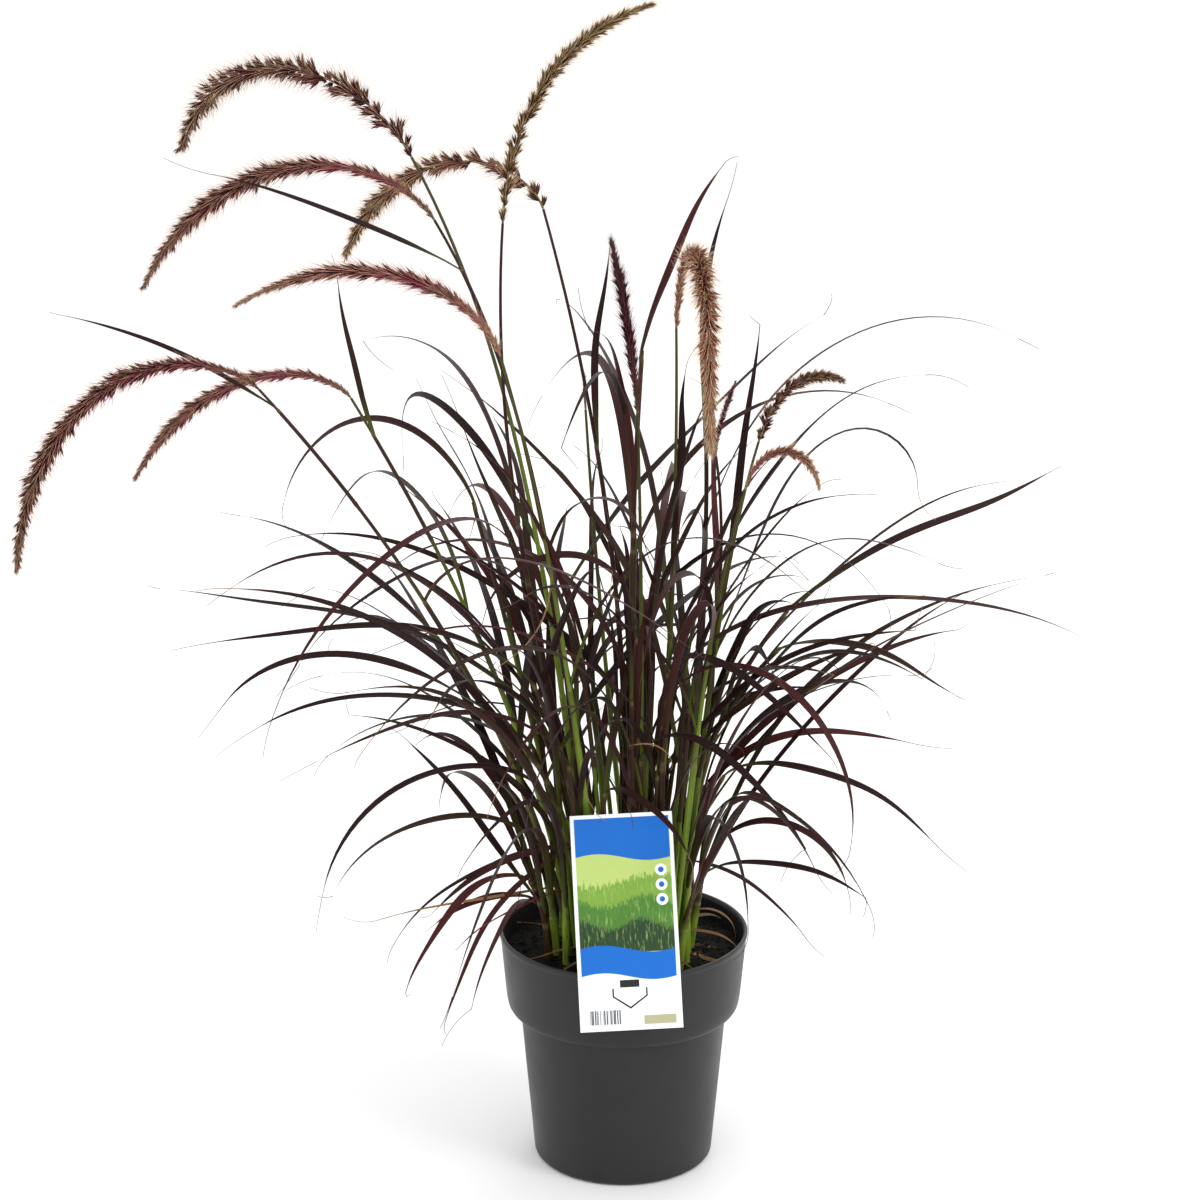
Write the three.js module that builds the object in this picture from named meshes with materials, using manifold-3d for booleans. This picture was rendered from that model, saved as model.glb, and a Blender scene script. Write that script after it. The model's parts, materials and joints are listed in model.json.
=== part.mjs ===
// A dwarf purple fountain grass in a nursery pot: the pot, the potting mix, the plant label, the flowering
// stems with their leaves, their plumes, and the leafy shoots. Millimetres and degrees, +Z up, -Y to the front,
// with the origin in the middle of the pot's flat base.
import * as THREE from "three";
import { mergeVertices } from "three/addons/utils/BufferGeometryUtils.js";
import Module from "manifold-3d";

const wasm = await Module();
wasm.setup();

// Clearance between neighbours that touch on the real plant
const GAP = 0.3;

// The pot: a deep collar over a tapered body, with a rolled bead at the rim
const POT = {
  height: 195,
  baseRadius: 72.5,
  baseRound: 6,
  bodyTopRadius: 83.5,
  collarFoot: 128,
  collarFootRadius: 94.5,
  collarTopRadius: 98.5,
  shoulderRound: 9,
  rimRadius: 100.3,
  rimDepth: 6,
  wall: 1.6,
  floor: 3,
  sides: 32,
};
const DRAIN = { count: 6, radius: 6, circle: 52, sides: 6 };

// The potting mix fills the pot to a little under the rim
const SOIL = { top: 180, mound: 2.5, moundRadius: 66 };
const ROOT_DEPTH = 26;

// The label hangs on a short lug of the rim, which comes through its slot
const LABEL = { width: 80, below: 36, above: 132, thickness: 0.8, x: 4, y: -103, z: 191, lean: 22, tilt: 3 };
const SLOT = { width: 15, height: 5.6 };
const LUG_LENGTH = 7;
const TONGUE = { width: 25, shoulder: 6, point: 14.5, drop: 3.4, thickness: 0.6 };

// Stems are four-sided and thin out upwards
const STEM_SIDES = 4;
const CULM_RADIUS = { foot: 2.6, top: 1.1 };
const SHOOT_RADIUS = { foot: 2.5, top: 1.5 };
const CULM_STATIONS = 7;
const SHOOT_STATIONS = 5;

// A blade is keeled: two edges, and a rib below them
const TOP_BLADE_SHARES = [0, 0.1, 0.28, 0.46, 0.64, 0.82];
const LEAF_SHARES = [0, 0.12, 0.34, 0.57, 0.8];
const BLADE_DEPTH = 1.3;

// A plume is a slim core whose surface rises into one pointed spikelet a cell
const PLUME = { sides: 4, pitch: 8, core: 2.6, reach: 8.6, forward: 8, tipLength: 9 };

// A route is worked out in this many steps
const STEPS = 96;

// Room that strands of different plants of the clump leave each other, and the size of a cell of the room plan
const ROOM = 0.9;
const CELL = 12;
const QUERY_REACH = 4.2;
const BEAD_STEP = 3.4;
const BLADE_ROWS = [-1, 0, 1];

const COLOURS = {
  pot: 0x404244,
  soil: 0x1d1613,
  label: 0xeef1f2,
  culm: 0x43352a,
  shoot: 0x2c1a1d,
  plume: 0x6b4038,
  duskyPlume: 0x2a1518,
  tanPlume: 0x8a7048,
};

// Flowering stems: where each leaves the mix, which way it leans, its rise above the horizon at foot and top,
// how late it bends, and its length, then the same for the plume that it carries.
const CULMS = [
  { at: [-24, 22], heading: 168, lift: 83, fall: 61, bend: 2.8, length: 650,
    plume: { fall: -69, bend: 1, length: 275, swing: -33, girth: 0.92, colour: "plume" } },
  { at: [-24, -8], heading: 185, lift: 85, fall: 60, bend: 2.9, length: 610,
    plume: { fall: -64, bend: 0.75, length: 272, swing: 23, girth: 0.85, colour: "plume" },
    leaves: [{ at: 0.93, heading: 192, lift: 34, fall: 14, bend: 0.8, length: 205, width: 4.5 }] },
  { at: [-4, 36], heading: 150, lift: 96, fall: 72, bend: 0.9, length: 595,
    plume: { fall: -69, bend: 0.6, length: 228, swing: 12, girth: 0.85, colour: "tanPlume" },
    leaves: [{ at: 0.68, heading: 150, lift: 86, fall: 104, bend: 1.2, length: 160, width: 6 }] },
  { at: [-8, 2], heading: 180, lift: 76, fall: 94, bend: 2.1, length: 596,
    plume: { heading: 5, lift: 86, fall: 13, bend: 1.3, length: 216, swing: 0, girth: 0.9, colour: "tanPlume" },
    leaves: [{ at: 0.87, heading: 180, lift: 100, fall: 84, bend: 1, length: 110, width: 5 }] },
  { at: [-14, -36], heading: 195, lift: 83, fall: 74, bend: 2.8, length: 505,
    plume: { fall: -29, bend: 0.7, length: 237, swing: 7, girth: 0.75, colour: "plume" } },
  { at: [-42, -22], heading: 190, lift: 83, fall: 50, bend: 0.7, length: 535,
    plume: { fall: -79, bend: 0.67, length: 285, swing: 60, girth: 0.92, colour: "plume" },
    leaves: [{ at: 0.96, heading: 168, lift: 32, fall: 6, bend: 0.8, length: 190, width: 4 }] },
  { at: [-44, 10], heading: 172, lift: 89, fall: 59, bend: 0.5, length: 480,
    plume: { fall: -63, bend: 0.52, length: 214, swing: 18, girth: 0.7, colour: "plume" },
    leaves: [{ at: 0.93, heading: 165, lift: 62, fall: 76, bend: 1, length: 125, width: 5 }] },
  { at: [14, -15], heading: 180, lift: 90, fall: 88, bend: 2.6, length: 444,
    plume: { fall: 78, bend: 0.5, length: 139, swing: 0, girth: 0.7, colour: "duskyPlume" } },
  { at: [24, 8], heading: 0, lift: 87, fall: 91, bend: 2.2, length: 506,
    plume: { heading: -80, lift: 85, fall: -96, bend: 0.83, length: 315, swing: -10, girth: 1.05, colour: "tanPlume" },
    leaves: [
      { at: 0.97, heading: 90, lift: 88, fall: 78, bend: 1, length: 120, width: 4 },
      { at: 0.7, heading: 15, lift: 84, fall: 88, bend: 1, length: 120, width: 7 },
    ] },
  { at: [40, 26], heading: 20, lift: 81, fall: 99, bend: 3.4, length: 400,
    plume: { fall: 63, bend: 0.4, length: 63, swing: 12, girth: 0.5, colour: "duskyPlume" } },
  { at: [44, -8], heading: -10, lift: 84, fall: 74, bend: 4, length: 427,
    plume: { fall: -31, bend: 1.7, length: 97, swing: -4, girth: 0.62, colour: "plume" } },
  { at: [38, -36], heading: -25, lift: 84, fall: 73, bend: 3.7, length: 400,
    plume: { fall: -80, bend: 1.3, length: 101, swing: -32, girth: 0.6, colour: "tanPlume" } },
  { at: [8, 46], heading: 120, lift: 77, fall: 83, bend: 1.4, length: 424,
    plume: { fall: 88, bend: 1, length: 30, swing: 0, girth: 0.35, colour: "duskyPlume" },
    leaves: [{ at: 0.97, heading: 150, lift: 94, fall: 78, bend: 1, length: 100, width: 5 }] },
];

// Leafy shoots: the same for the stem, then for the top blade that carries it on
const SHOOTS = [
  { at: [46, 4], heading: -8, lift: 92, fall: 70, rise: 265, blade: { fall: -90, bend: 3.5, length: 305, swing: -40 } },
  { at: [50, 14], heading: 18, lift: 90, fall: 46, rise: 290, blade: { fall: 0, bend: 0.5, length: 300, swing: 30 } },
  { at: [34, -24], heading: -12, lift: 94, fall: 88, rise: 215, blade: { fall: -34, bend: 0.5, length: 395, swing: 30 } },
  { at: [52, -16], heading: 5, lift: 92, fall: 92, rise: 150, blade: { fall: 16, bend: 0.4, length: 195, swing: 20 } },
  { at: [36, 20], heading: -22, lift: 86, fall: 46, rise: 278, blade: { fall: -34, bend: 0.5, length: 155, swing: 7 } },
  { at: [26, -12], heading: -38, lift: 94, fall: 92, rise: 225, blade: { fall: -36, bend: 0.4, length: 225, swing: 18 } },
  { at: [18, -42], heading: -50, lift: 92, fall: 94, rise: 170, blade: { fall: -59, bend: 0.5, length: 205, swing: 14 } },
  { at: [50, -34], heading: -30, lift: 92, fall: 59, rise: 168, blade: { fall: -42, bend: 0.5, length: 195, swing: 14 } },
  { at: [56, 24], heading: 15, lift: 92, fall: 88, rise: 105, blade: { fall: -18, bend: 0.5, length: 205, swing: -12 } },
  { at: [28, -36], heading: -42, lift: 89, fall: 90, rise: 200, blade: { fall: -105, bend: 0.8, length: 290, swing: 9 } },
  { at: [54, -4], heading: -20, lift: 83, fall: 76, rise: 70, blade: { fall: -75, bend: 1, length: 165, swing: 0 } },
  { at: [44, -50], heading: -42, lift: 84, fall: 63, rise: 85, blade: { fall: -20, bend: 0.5, length: 160, swing: 16 } },
  { at: [-34, 0], heading: 178, lift: 91, fall: 65, rise: 192, blade: { fall: -3, bend: 0.5, length: 335, swing: -2 } },
  { at: [-34, -34], heading: 188, lift: 92, fall: 64, rise: 240, blade: { fall: -19, bend: 0.5, length: 270, swing: -12 } },
  { at: [-36, -12], heading: 205, lift: 90, fall: 38, rise: 240, blade: { fall: -53, bend: 1.7, length: 235, swing: -30 } },
  { at: [-50, 20], heading: 172, lift: 92, fall: 66, rise: 164, blade: { fall: -29, bend: 0.5, length: 245, swing: 10 } },
  { at: [-32, -46], heading: 212, lift: 87, fall: 84, rise: 172, blade: { fall: -25, bend: 0.5, length: 236, swing: 0 } },
  { at: [-46, -38], heading: 222, lift: 90, fall: 82, rise: 120, blade: { fall: -75, bend: 0.8, length: 280, swing: -30 } },
  { at: [-54, -20], heading: 215, lift: 86, fall: 80, rise: 85, blade: { fall: -61, bend: 0.6, length: 207, swing: 0 } },
  { at: [-60, -30], heading: 222, lift: 88, fall: 54, rise: 75, blade: { fall: -71, bend: 0.6, length: 160, swing: 0 } },
  { at: [-56, 0], heading: 200, lift: 84, fall: 40, rise: 45, blade: { fall: -39, bend: 0.6, length: 90, swing: -16 } },
  { at: [-34, 36], heading: 150, lift: 75, fall: 72, rise: 361, blade: { fall: -79, bend: 0.9, length: 275, swing: -12 } },
  { at: [-54, 8], heading: 165, lift: 82, fall: 54, rise: 248, blade: { fall: 1, bend: 1.3, length: 222, swing: -8 } },
  { at: [-18, 42], heading: 140, lift: 94, fall: 54, rise: 320, blade: { fall: -92, bend: 2.1, length: 300, swing: -30 } },
  { at: [15, 1], heading: 15, lift: 93, fall: 86, rise: 490, blade: { fall: 52, bend: 0.6, length: 165, swing: 20 } },
  { at: [30, 38], heading: 60, lift: 70, fall: 94, rise: 405, blade: { fall: 62, bend: 2.2, length: 205, swing: -10 } },
  { at: [22, 26], heading: 40, lift: 76, fall: 72, rise: 283, blade: { fall: 86, bend: 0.5, length: 226, swing: 0 } },
  { at: [-20, -46], heading: -50, lift: 92, fall: 80, rise: 150, blade: { fall: -45, bend: 0.35, length: 115, swing: 0 } },
  { at: [6, -30], heading: 190, lift: 90, fall: 92, rise: 270, blade: { fall: -85, bend: 1.2, length: 190, swing: 0 } },
  { at: [12, 32], heading: 80, lift: 82, fall: 62, rise: 260, blade: { fall: -50, bend: 1, length: 330, swing: 12 } },
  { at: [-16, 28], heading: 108, lift: 80, fall: 60, rise: 230, blade: { fall: -40, bend: 1, length: 350, swing: -14 } },
];

// The top blades are this wide, and turn their upper faces by this much to the front
const TOP_BLADE_WIDTH = 6.8;
const FACE_TURN = 48;

// How the leaves further down a stem are drawn by lot: lowest value and spread of each
const SEED = 49;
const LEAVES = { culm: 2, shoot: 3 };
const LEAF_PLACE = { culm: [0.2, 0.45], shoot: [0.28, 0.62] };
const LEAF_LOT = {
  heading: [-34, 68],
  length: [190, 210],
  fall: [-62, 82],
  bend: [0.7, 0.9],
  width: [5, 2.6],
  swing: [-26, 52],
  roll: [-75, 150],
};
const LEAF_SPREAD = 11;
const TRY_TURN = 5;
const TRIES = 36;

// Leaves by lot stay out of the view from the front, down this slope, onto the card and the pot
const VIEW = { slope: 0.38, cardHalf: 50, potHalf: 106 };

const rad = THREE.MathUtils.degToRad;

// Repeatable draws between 0 and 1, so that the plant grows the same each time
function lots(seed) {
  let state = seed;
  return () => {
    state = (Math.imul(state, 1664525) + 1013904223) >>> 0;
    return state / 4294967296;
  };
}

// The solid that a closed geometry bounds
function solidOf(geometry) {
  const bare = geometry.index ? geometry.clone() : geometry;
  bare.deleteAttribute("normal");
  bare.deleteAttribute("uv");
  const merged = mergeVertices(bare, 1e-4);
  return new wasm.Manifold(
    new wasm.Mesh({
      numProp: 3,
      vertProperties: merged.attributes.position.array,
      triVerts: new Uint32Array(merged.index.array),
    }),
  );
}

function geometryOf(solid) {
  const mesh = solid.getMesh();
  const geometry = new THREE.BufferGeometry();
  geometry.setAttribute("position", new THREE.BufferAttribute(mesh.vertProperties, 3));
  geometry.setIndex(new THREE.BufferAttribute(mesh.triVerts, 1));
  return geometry;
}

function fused(geometries) {
  const solids = geometries.map(solidOf);
  return geometryOf(solids.reduce((whole, next) => whole.add(next)));
}

// A closed body through rings of equally many corners, which run counter-clockwise seen from the tip.
// It ends in a point where one is given, and is flat there otherwise.
function loft(rings, point = null) {
  const corners = rings.flat();
  const faces = [];
  const sides = rings[0].length;
  for (let i = 1; i + 1 < sides; i += 1) faces.push(0, i + 1, i);
  for (let ring = 0; ring + 1 < rings.length; ring += 1) {
    for (let i = 0; i < sides; i += 1) {
      const a = ring * sides + i;
      const b = ring * sides + ((i + 1) % sides);
      faces.push(a, b, b + sides, a, b + sides, a + sides);
    }
  }
  const last = (rings.length - 1) * sides;
  if (point) {
    corners.push(point);
    for (let i = 0; i < sides; i += 1) faces.push(last + i, last + ((i + 1) % sides), last + sides);
  } else {
    for (let i = 1; i + 1 < sides; i += 1) faces.push(last, last + i, last + i + 1);
  }
  return new THREE.BufferGeometry().setFromPoints(corners).setIndex(faces);
}

// A route from a start: its rise above the horizon goes from lift to fall, the later the larger bend is,
// while its heading turns by swing, and it rolls about itself, mostly near its start. Each of its points has
// the way on, the way across and the way up from it.
function arch(start, { heading, lift, fall, bend = 1.5, length, swing = 0, roll = 0 }) {
  const points = [start.clone()];
  const step = length / STEPS;
  for (let i = 0; i < STEPS; i += 1) {
    const share = (i + 0.5) / STEPS;
    const rise = rad(lift + (fall - lift) * share ** bend);
    const turn = rad(heading + swing * share);
    const way = new THREE.Vector3(Math.cos(rise) * Math.cos(turn), Math.cos(rise) * Math.sin(turn), Math.sin(rise));
    points.push(points[i].clone().addScaledVector(way, step));
  }
  const frames = points.map((_, i) => {
    const along = points[Math.min(i + 1, STEPS)].clone().sub(points[Math.max(i - 1, 0)]).normalize();
    const share = i / STEPS;
    const turn = rad(heading + swing * share);
    const across = new THREE.Vector3(-Math.sin(turn), Math.cos(turn), 0);
    across.addScaledVector(along, -across.dot(along)).normalize();
    across.applyAxisAngle(along, rad(roll * Math.sqrt(share)));
    return { along, across, up: along.clone().cross(across) };
  });
  return { points, frames };
}

// A ring of corners about a route's point, at a radius in its own plane
function ringAt(centre, frame, radius, sides, offset = 0) {
  return Array.from({ length: sides }, (_, i) => {
    const angle = ((i + offset) * 2 * Math.PI) / sides;
    return centre
      .clone()
      .addScaledVector(frame.across, radius * Math.cos(angle))
      .addScaledVector(frame.up, radius * Math.sin(angle));
  });
}

// The foot of a stem, which stands upright in the mix
function footFrame(heading) {
  const along = new THREE.Vector3(0, 0, 1);
  const across = new THREE.Vector3(-Math.sin(rad(heading)), Math.cos(rad(heading)), 0);
  return { along, across, up: along.clone().cross(across) };
}

// The stations of a strand: the shares of its route at which it has a section, with the size of each
function stationsOf(route, shares, sizeAt) {
  return shares.map((share) => {
    const index = Math.round(share * STEPS);
    return { share, centre: route.points[index], frame: route.frames[index], size: sizeAt(share) };
  });
}

function stemStations(route, radius, count) {
  const shares = Array.from({ length: count + 1 }, (_, i) => i / count);
  return stationsOf(route, shares, (share) => radius.foot + (radius.top - radius.foot) * share);
}

// Width of a blade at a share of its length: narrow where it clasps the stem, and drawn out to a hair
function bladeStations(route, width, shares) {
  const widthAt = (share) => width * Math.min(1, 0.42 + 3 * share) * (1 - share ** 2.4) ** 0.8;
  return stationsOf(route, [...shares, 1], widthAt);
}

function stem({ at, heading, radius, stations }) {
  const foot = new THREE.Vector3(at[0], at[1], SOIL.top - ROOT_DEPTH + GAP);
  const rings = stations.map(({ centre, frame, size }) => ringAt(centre, frame, size, STEM_SIDES));
  return loft([ringAt(foot, footFrame(heading), radius.foot, STEM_SIDES), ...rings]);
}

function blade(stations) {
  const rings = stations.slice(0, -1).map(({ share, centre, frame, size }) => {
    const depth = BLADE_DEPTH * (1 - 0.4 * share);
    const at = (side, height) =>
      centre.clone().addScaledVector(frame.across, side).addScaledVector(frame.up, height);
    return [at(size / 2, depth / 3), at(-size / 2, depth / 3), at(0, (-2 * depth) / 3)];
  });
  return loft(rings, stations.at(-1).centre);
}

// A tapered core of staggered rings. Every cell of four neighbours on it rises into a spikelet, which leans on
// towards the tip, so that the spikelets cover the plume all round and from end to end.
function plume(route, { length, girth }) {
  const { sides, pitch, core, reach, forward, tipLength } = PLUME;
  const rows = Math.max(4, Math.round((length - tipLength) / pitch));
  const fullness = (share) => girth * Math.min(1, 0.5 + 3 * share, 0.42 + 1.5 * (1 - share));
  const place = (row) => {
    const exact = ((row / rows) * (1 - tipLength / length)) * STEPS;
    const index = Math.min(Math.floor(exact), STEPS - 1);
    const centre = route.points[index].clone().lerp(route.points[index + 1], exact - index);
    return { centre, frame: route.frames[index], share: row / rows };
  };
  const corners = [];
  for (let row = 0; row <= rows; row += 1) {
    const { centre, frame, share } = place(row);
    corners.push(...ringAt(centre, frame, core * fullness(share), sides, (row % 2) / 2));
  }
  const tip = corners.length;
  corners.push(route.points[STEPS]);
  const faces = [];
  const corner = (row, i) => row * sides + (i % sides);
  for (let i = 1; i + 1 < sides; i += 1) faces.push(0, i + 1, i);
  for (let row = 0; row <= rows; row += 1) {
    for (let i = 0; i < sides; i += 1) {
      const left = corner(row, i);
      const right = corner(row, i + 1);
      const middle = i + (row % 2);
      if (row === 0) {
        faces.push(left, right, corner(1, middle));
      } else if (row === rows) {
        faces.push(right, left, corner(row - 1, middle), left, right, tip);
      } else {
        const below = corner(row - 1, middle);
        const above = corner(row + 1, middle);
        const { centre, frame, share } = place(row);
        const angle = ((i + 0.5 + (row % 2) / 2) * 2 * Math.PI) / sides;
        const out = (core + reach) * fullness(share);
        const point = centre
          .clone()
          .addScaledVector(frame.across, out * Math.cos(angle))
          .addScaledVector(frame.up, out * Math.sin(angle))
          .addScaledVector(frame.along, forward * fullness(share));
        const apex = corners.push(point) - 1;
        faces.push(below, right, apex, right, above, apex, above, left, apex, left, below, apex);
      }
    }
  }
  return new THREE.BufferGeometry().setFromPoints(corners).setIndex(faces);
}

// The plan of taken room: beads along every strand, listed in each cell that they can reach
const taken = new Map();

function cellsNear(bead, reach, visit) {
  const low = [bead.x - reach, bead.y - reach, bead.z - reach].map((v) => Math.floor(v / CELL));
  const high = [bead.x + reach, bead.y + reach, bead.z + reach].map((v) => Math.floor(v / CELL));
  for (let i = low[0]; i <= high[0]; i += 1) {
    for (let j = low[1]; j <= high[1]; j += 1) {
      for (let k = low[2]; k <= high[2]; k += 1) visit(`${i},${j},${k}`);
    }
  }
}

function occupy(beads, owner) {
  for (const bead of beads) {
    cellsNear(bead, bead.radius + QUERY_REACH, (key) => {
      if (!taken.has(key)) taken.set(key, []);
      taken.get(key).push({ ...bead, owner });
    });
  }
}

function isFree(beads, owner) {
  return beads.every((bead) => {
    const inPot = bead.z < POT.height + 3 && Math.hypot(bead.x, bead.y) < POT.rimRadius + 4;
    const overMix = bead.z > SOIL.top && Math.hypot(bead.x, bead.y) < 82;
    if (inPot && !overMix) return false;
    const key = [bead.x, bead.y, bead.z].map((v) => Math.floor(v / CELL)).join(",");
    return (taken.get(key) ?? []).every((other) => {
      if (other.owner === owner) return true;
      const near = bead.radius + other.radius + ROOM;
      return (bead.x - other.x) ** 2 + (bead.y - other.y) ** 2 + (bead.z - other.z) ** 2 > near * near;
    });
  });
}

function bead(point, radius) {
  return { x: point.x, y: point.y, z: point.z, radius };
}

// Beads along the stations of a strand, in one row, or in three side by side on a blade
function beadsAlong(stations, rows) {
  const beads = [];
  for (let i = 0; i + 1 < stations.length; i += 1) {
    const here = stations[i];
    const next = stations[i + 1];
    const count = Math.ceil(here.centre.distanceTo(next.centre) / BEAD_STEP);
    for (let k = 0; k < count; k += 1) {
      const share = k / count;
      const centre = here.centre.clone().lerp(next.centre, share);
      const across = here.frame.across.clone().lerp(next.frame.across, share);
      const size = here.size + (next.size - here.size) * share;
      for (const row of rows) {
        const radius = rows.length > 1 ? size / 6 + BLADE_DEPTH / 2 : size;
        beads.push(bead(centre.clone().addScaledVector(across, (row * size) / 3), radius));
      }
    }
  }
  return beads;
}

// The first turn of a strand, to one side and the other of its own heading, that leaves room to all others
function settle(owner, grow) {
  for (let attempt = 0; attempt < TRIES; attempt += 1) {
    const turn = TRY_TURN * Math.ceil(attempt / 2) * (attempt % 2 ? 1 : -1);
    const strand = grow(turn);
    if (isFree(strand.beads, owner) && !(strand.keepsClear && strand.beads.some(hidesFront))) {
      occupy(strand.beads, owner);
      return strand;
    }
  }
  return null;
}

function growBlade(owner, start, form) {
  return settle(owner, (turn) => {
    const route = arch(start, { ...form, heading: form.heading + turn });
    const stations = bladeStations(route, form.width, LEAF_SHARES);
    return { stations, beads: beadsAlong(stations, BLADE_ROWS), keepsClear: true };
  });
}

// Whether a leaf hangs down in front of the card or of the pot
function hidesFront({ x, y, z }) {
  const lean = rad(LABEL.lean);
  const cardTop = { y: LABEL.y + LABEL.above * Math.sin(lean), z: LABEL.z + LABEL.above * Math.cos(lean) };
  const beforeCard = y < LABEL.y + (z - LABEL.z) * Math.tan(lean) && z < cardTop.z + VIEW.slope * (cardTop.y - y);
  const beforePot = y < -POT.rimRadius && z < POT.height + VIEW.slope * (-POT.rimRadius - y);
  return (beforeCard && Math.abs(x - LABEL.x) < VIEW.cardHalf) || (beforePot && Math.abs(x) < VIEW.potHalf);
}

function leafByLot(draw, number, kind, heading, liftAt) {
  const pick = ([low, spread]) => low + spread * draw();
  const at = pick(LEAF_PLACE[kind]);
  const side = number % 2 ? 90 : -90;
  return {
    at,
    heading: heading + side + pick(LEAF_LOT.heading),
    lift: liftAt(at) - LEAF_SPREAD,
    fall: pick(LEAF_LOT.fall),
    bend: pick(LEAF_LOT.bend),
    length: pick(LEAF_LOT.length),
    width: pick(LEAF_LOT.width),
    swing: pick(LEAF_LOT.swing),
    roll: pick(LEAF_LOT.roll),
  };
}

// The wall of the pot, its floor, its drain holes and the lug for the label
function potGeometry() {
  const { wall } = POT;
  const rimFoot = POT.height - POT.rimDepth;
  const shoulder = POT.collarFoot + POT.shoulderRound;
  const profile = [
    [0, 0],
    [POT.baseRadius - POT.baseRound, 0],
    [POT.baseRadius, POT.baseRound],
    [POT.bodyTopRadius, POT.collarFoot],
    [POT.collarFootRadius - 4, POT.collarFoot + 2.5],
    [POT.collarFootRadius, shoulder],
    [POT.collarTopRadius, rimFoot],
    [POT.rimRadius, rimFoot + 1],
    [POT.rimRadius, POT.height - 1],
    [POT.rimRadius - 0.8, POT.height],
    [POT.collarTopRadius - wall, POT.height],
    [POT.collarFootRadius - wall, shoulder + 1],
    [POT.bodyTopRadius - wall, POT.collarFoot + 2],
    [POT.baseRadius - wall, POT.floor],
    [0, POT.floor],
  ].map(([radius, height]) => new THREE.Vector2(radius, height));
  const shell = new THREE.LatheGeometry(profile, POT.sides).rotateX(Math.PI / 2);
  const lug = new THREE.BoxGeometry(SLOT.width - 2 * GAP, LUG_LENGTH, SLOT.height - 2 * GAP);
  let pot = solidOf(shell).add(solidOf(onLabel(lug, 0.9 - LUG_LENGTH / 2 + LABEL.thickness / 2)));
  for (let i = 0; i < DRAIN.count; i += 1) {
    const angle = ((i + 0.5) * 2 * Math.PI) / DRAIN.count;
    const hole = new THREE.CylinderGeometry(DRAIN.radius, DRAIN.radius, 4 * POT.floor, DRAIN.sides);
    hole.rotateX(Math.PI / 2);
    hole.translate(DRAIN.circle * Math.cos(angle), DRAIN.circle * Math.sin(angle), 0);
    pot = pot.subtract(solidOf(hole));
  }
  return geometryOf(pot);
}

// Potting mix, a clearance inside the pot, with a plain hole for each stem
function soilGeometry(stems) {
  const inset = POT.wall + GAP;
  const shoulder = POT.collarFoot + POT.shoulderRound;
  const slope = (POT.collarTopRadius - POT.collarFootRadius) / (POT.height - shoulder - 1);
  const edge = POT.collarFootRadius - inset + slope * (SOIL.top - SOIL.mound - shoulder - 1);
  const profile = [
    [0, POT.floor + GAP],
    [POT.baseRadius - inset, POT.floor + GAP],
    [POT.bodyTopRadius - inset, POT.collarFoot + 2],
    [POT.collarFootRadius - inset, shoulder + 1 + GAP],
    [edge, SOIL.top - SOIL.mound],
    [SOIL.moundRadius, SOIL.top],
    [0, SOIL.top],
  ].map(([radius, height]) => new THREE.Vector2(radius, height));
  let soil = solidOf(new THREE.LatheGeometry(profile, POT.sides).rotateX(Math.PI / 2));
  for (const { at, heading, radius } of stems) {
    const size = radius.foot + GAP / Math.cos(Math.PI / STEM_SIDES);
    const low = new THREE.Vector3(at[0], at[1], SOIL.top - ROOT_DEPTH);
    const high = new THREE.Vector3(at[0], at[1], SOIL.top + 2);
    const frame = footFrame(heading);
    soil = soil.subtract(
      solidOf(loft([ringAt(low, frame, size, STEM_SIDES), ringAt(high, frame, size, STEM_SIDES)])),
    );
  }
  return geometryOf(soil);
}

// Puts a geometry made flat in X and Z at the label's slot, its front at a distance in front of the card
function onLabel(geometry, forward) {
  return geometry
    .translate(0, -forward, 0)
    .rotateY(rad(-LABEL.tilt))
    .rotateX(rad(-LABEL.lean))
    .translate(LABEL.x, LABEL.y, LABEL.z);
}

// The label: a card with a slot for the lug, and the tongue below the slot lying on its face
function labelGeometry() {
  const { width, below, above, thickness } = LABEL;
  const card = new THREE.BoxGeometry(width, thickness, below + above).translate(0, 0, (above - below) / 2);
  const slot = new THREE.BoxGeometry(SLOT.width, 6, SLOT.height);
  const outline = new THREE.Shape([
    new THREE.Vector2(-TONGUE.width / 2, -TONGUE.drop),
    new THREE.Vector2(-TONGUE.width / 2, -TONGUE.drop - TONGUE.shoulder),
    new THREE.Vector2(0, -TONGUE.drop - TONGUE.point),
    new THREE.Vector2(TONGUE.width / 2, -TONGUE.drop - TONGUE.shoulder),
    new THREE.Vector2(TONGUE.width / 2, -TONGUE.drop),
  ]);
  const tongue = new THREE.ExtrudeGeometry(outline, { depth: TONGUE.thickness + thickness / 2, bevelEnabled: false });
  tongue.rotateX(Math.PI / 2);
  const flat = solidOf(card).add(solidOf(tongue)).subtract(solidOf(slot));
  return onLabel(geometryOf(flat), 0);
}

// Beads over the label's card, so that the leaves stay off it
function labelBeads() {
  const beads = [];
  for (let x = -LABEL.width / 2; x <= LABEL.width / 2; x += 5) {
    for (let z = -LABEL.below; z <= LABEL.above; z += 5) {
      const spot = onLabel(new THREE.BufferGeometry().setFromPoints([new THREE.Vector3(x, 0, z)]), 0);
      beads.push(bead(new THREE.Vector3().fromBufferAttribute(spot.attributes.position, 0), 3.2));
    }
  }
  return beads;
}

const plant = new THREE.Group();

function addMesh(name, geometry, colour, roughness) {
  const bare = geometry.index ? geometry.toNonIndexed() : geometry;
  bare.computeVertexNormals();
  const material = new THREE.MeshStandardMaterial({ color: COLOURS[colour], roughness, metalness: 0 });
  const mesh = new THREE.Mesh(bare, material);
  mesh.name = name;
  plant.add(mesh);
}

function numbered(kind, index) {
  return `${kind}_${String(index + 1).padStart(2, "0")}`;
}

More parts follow.
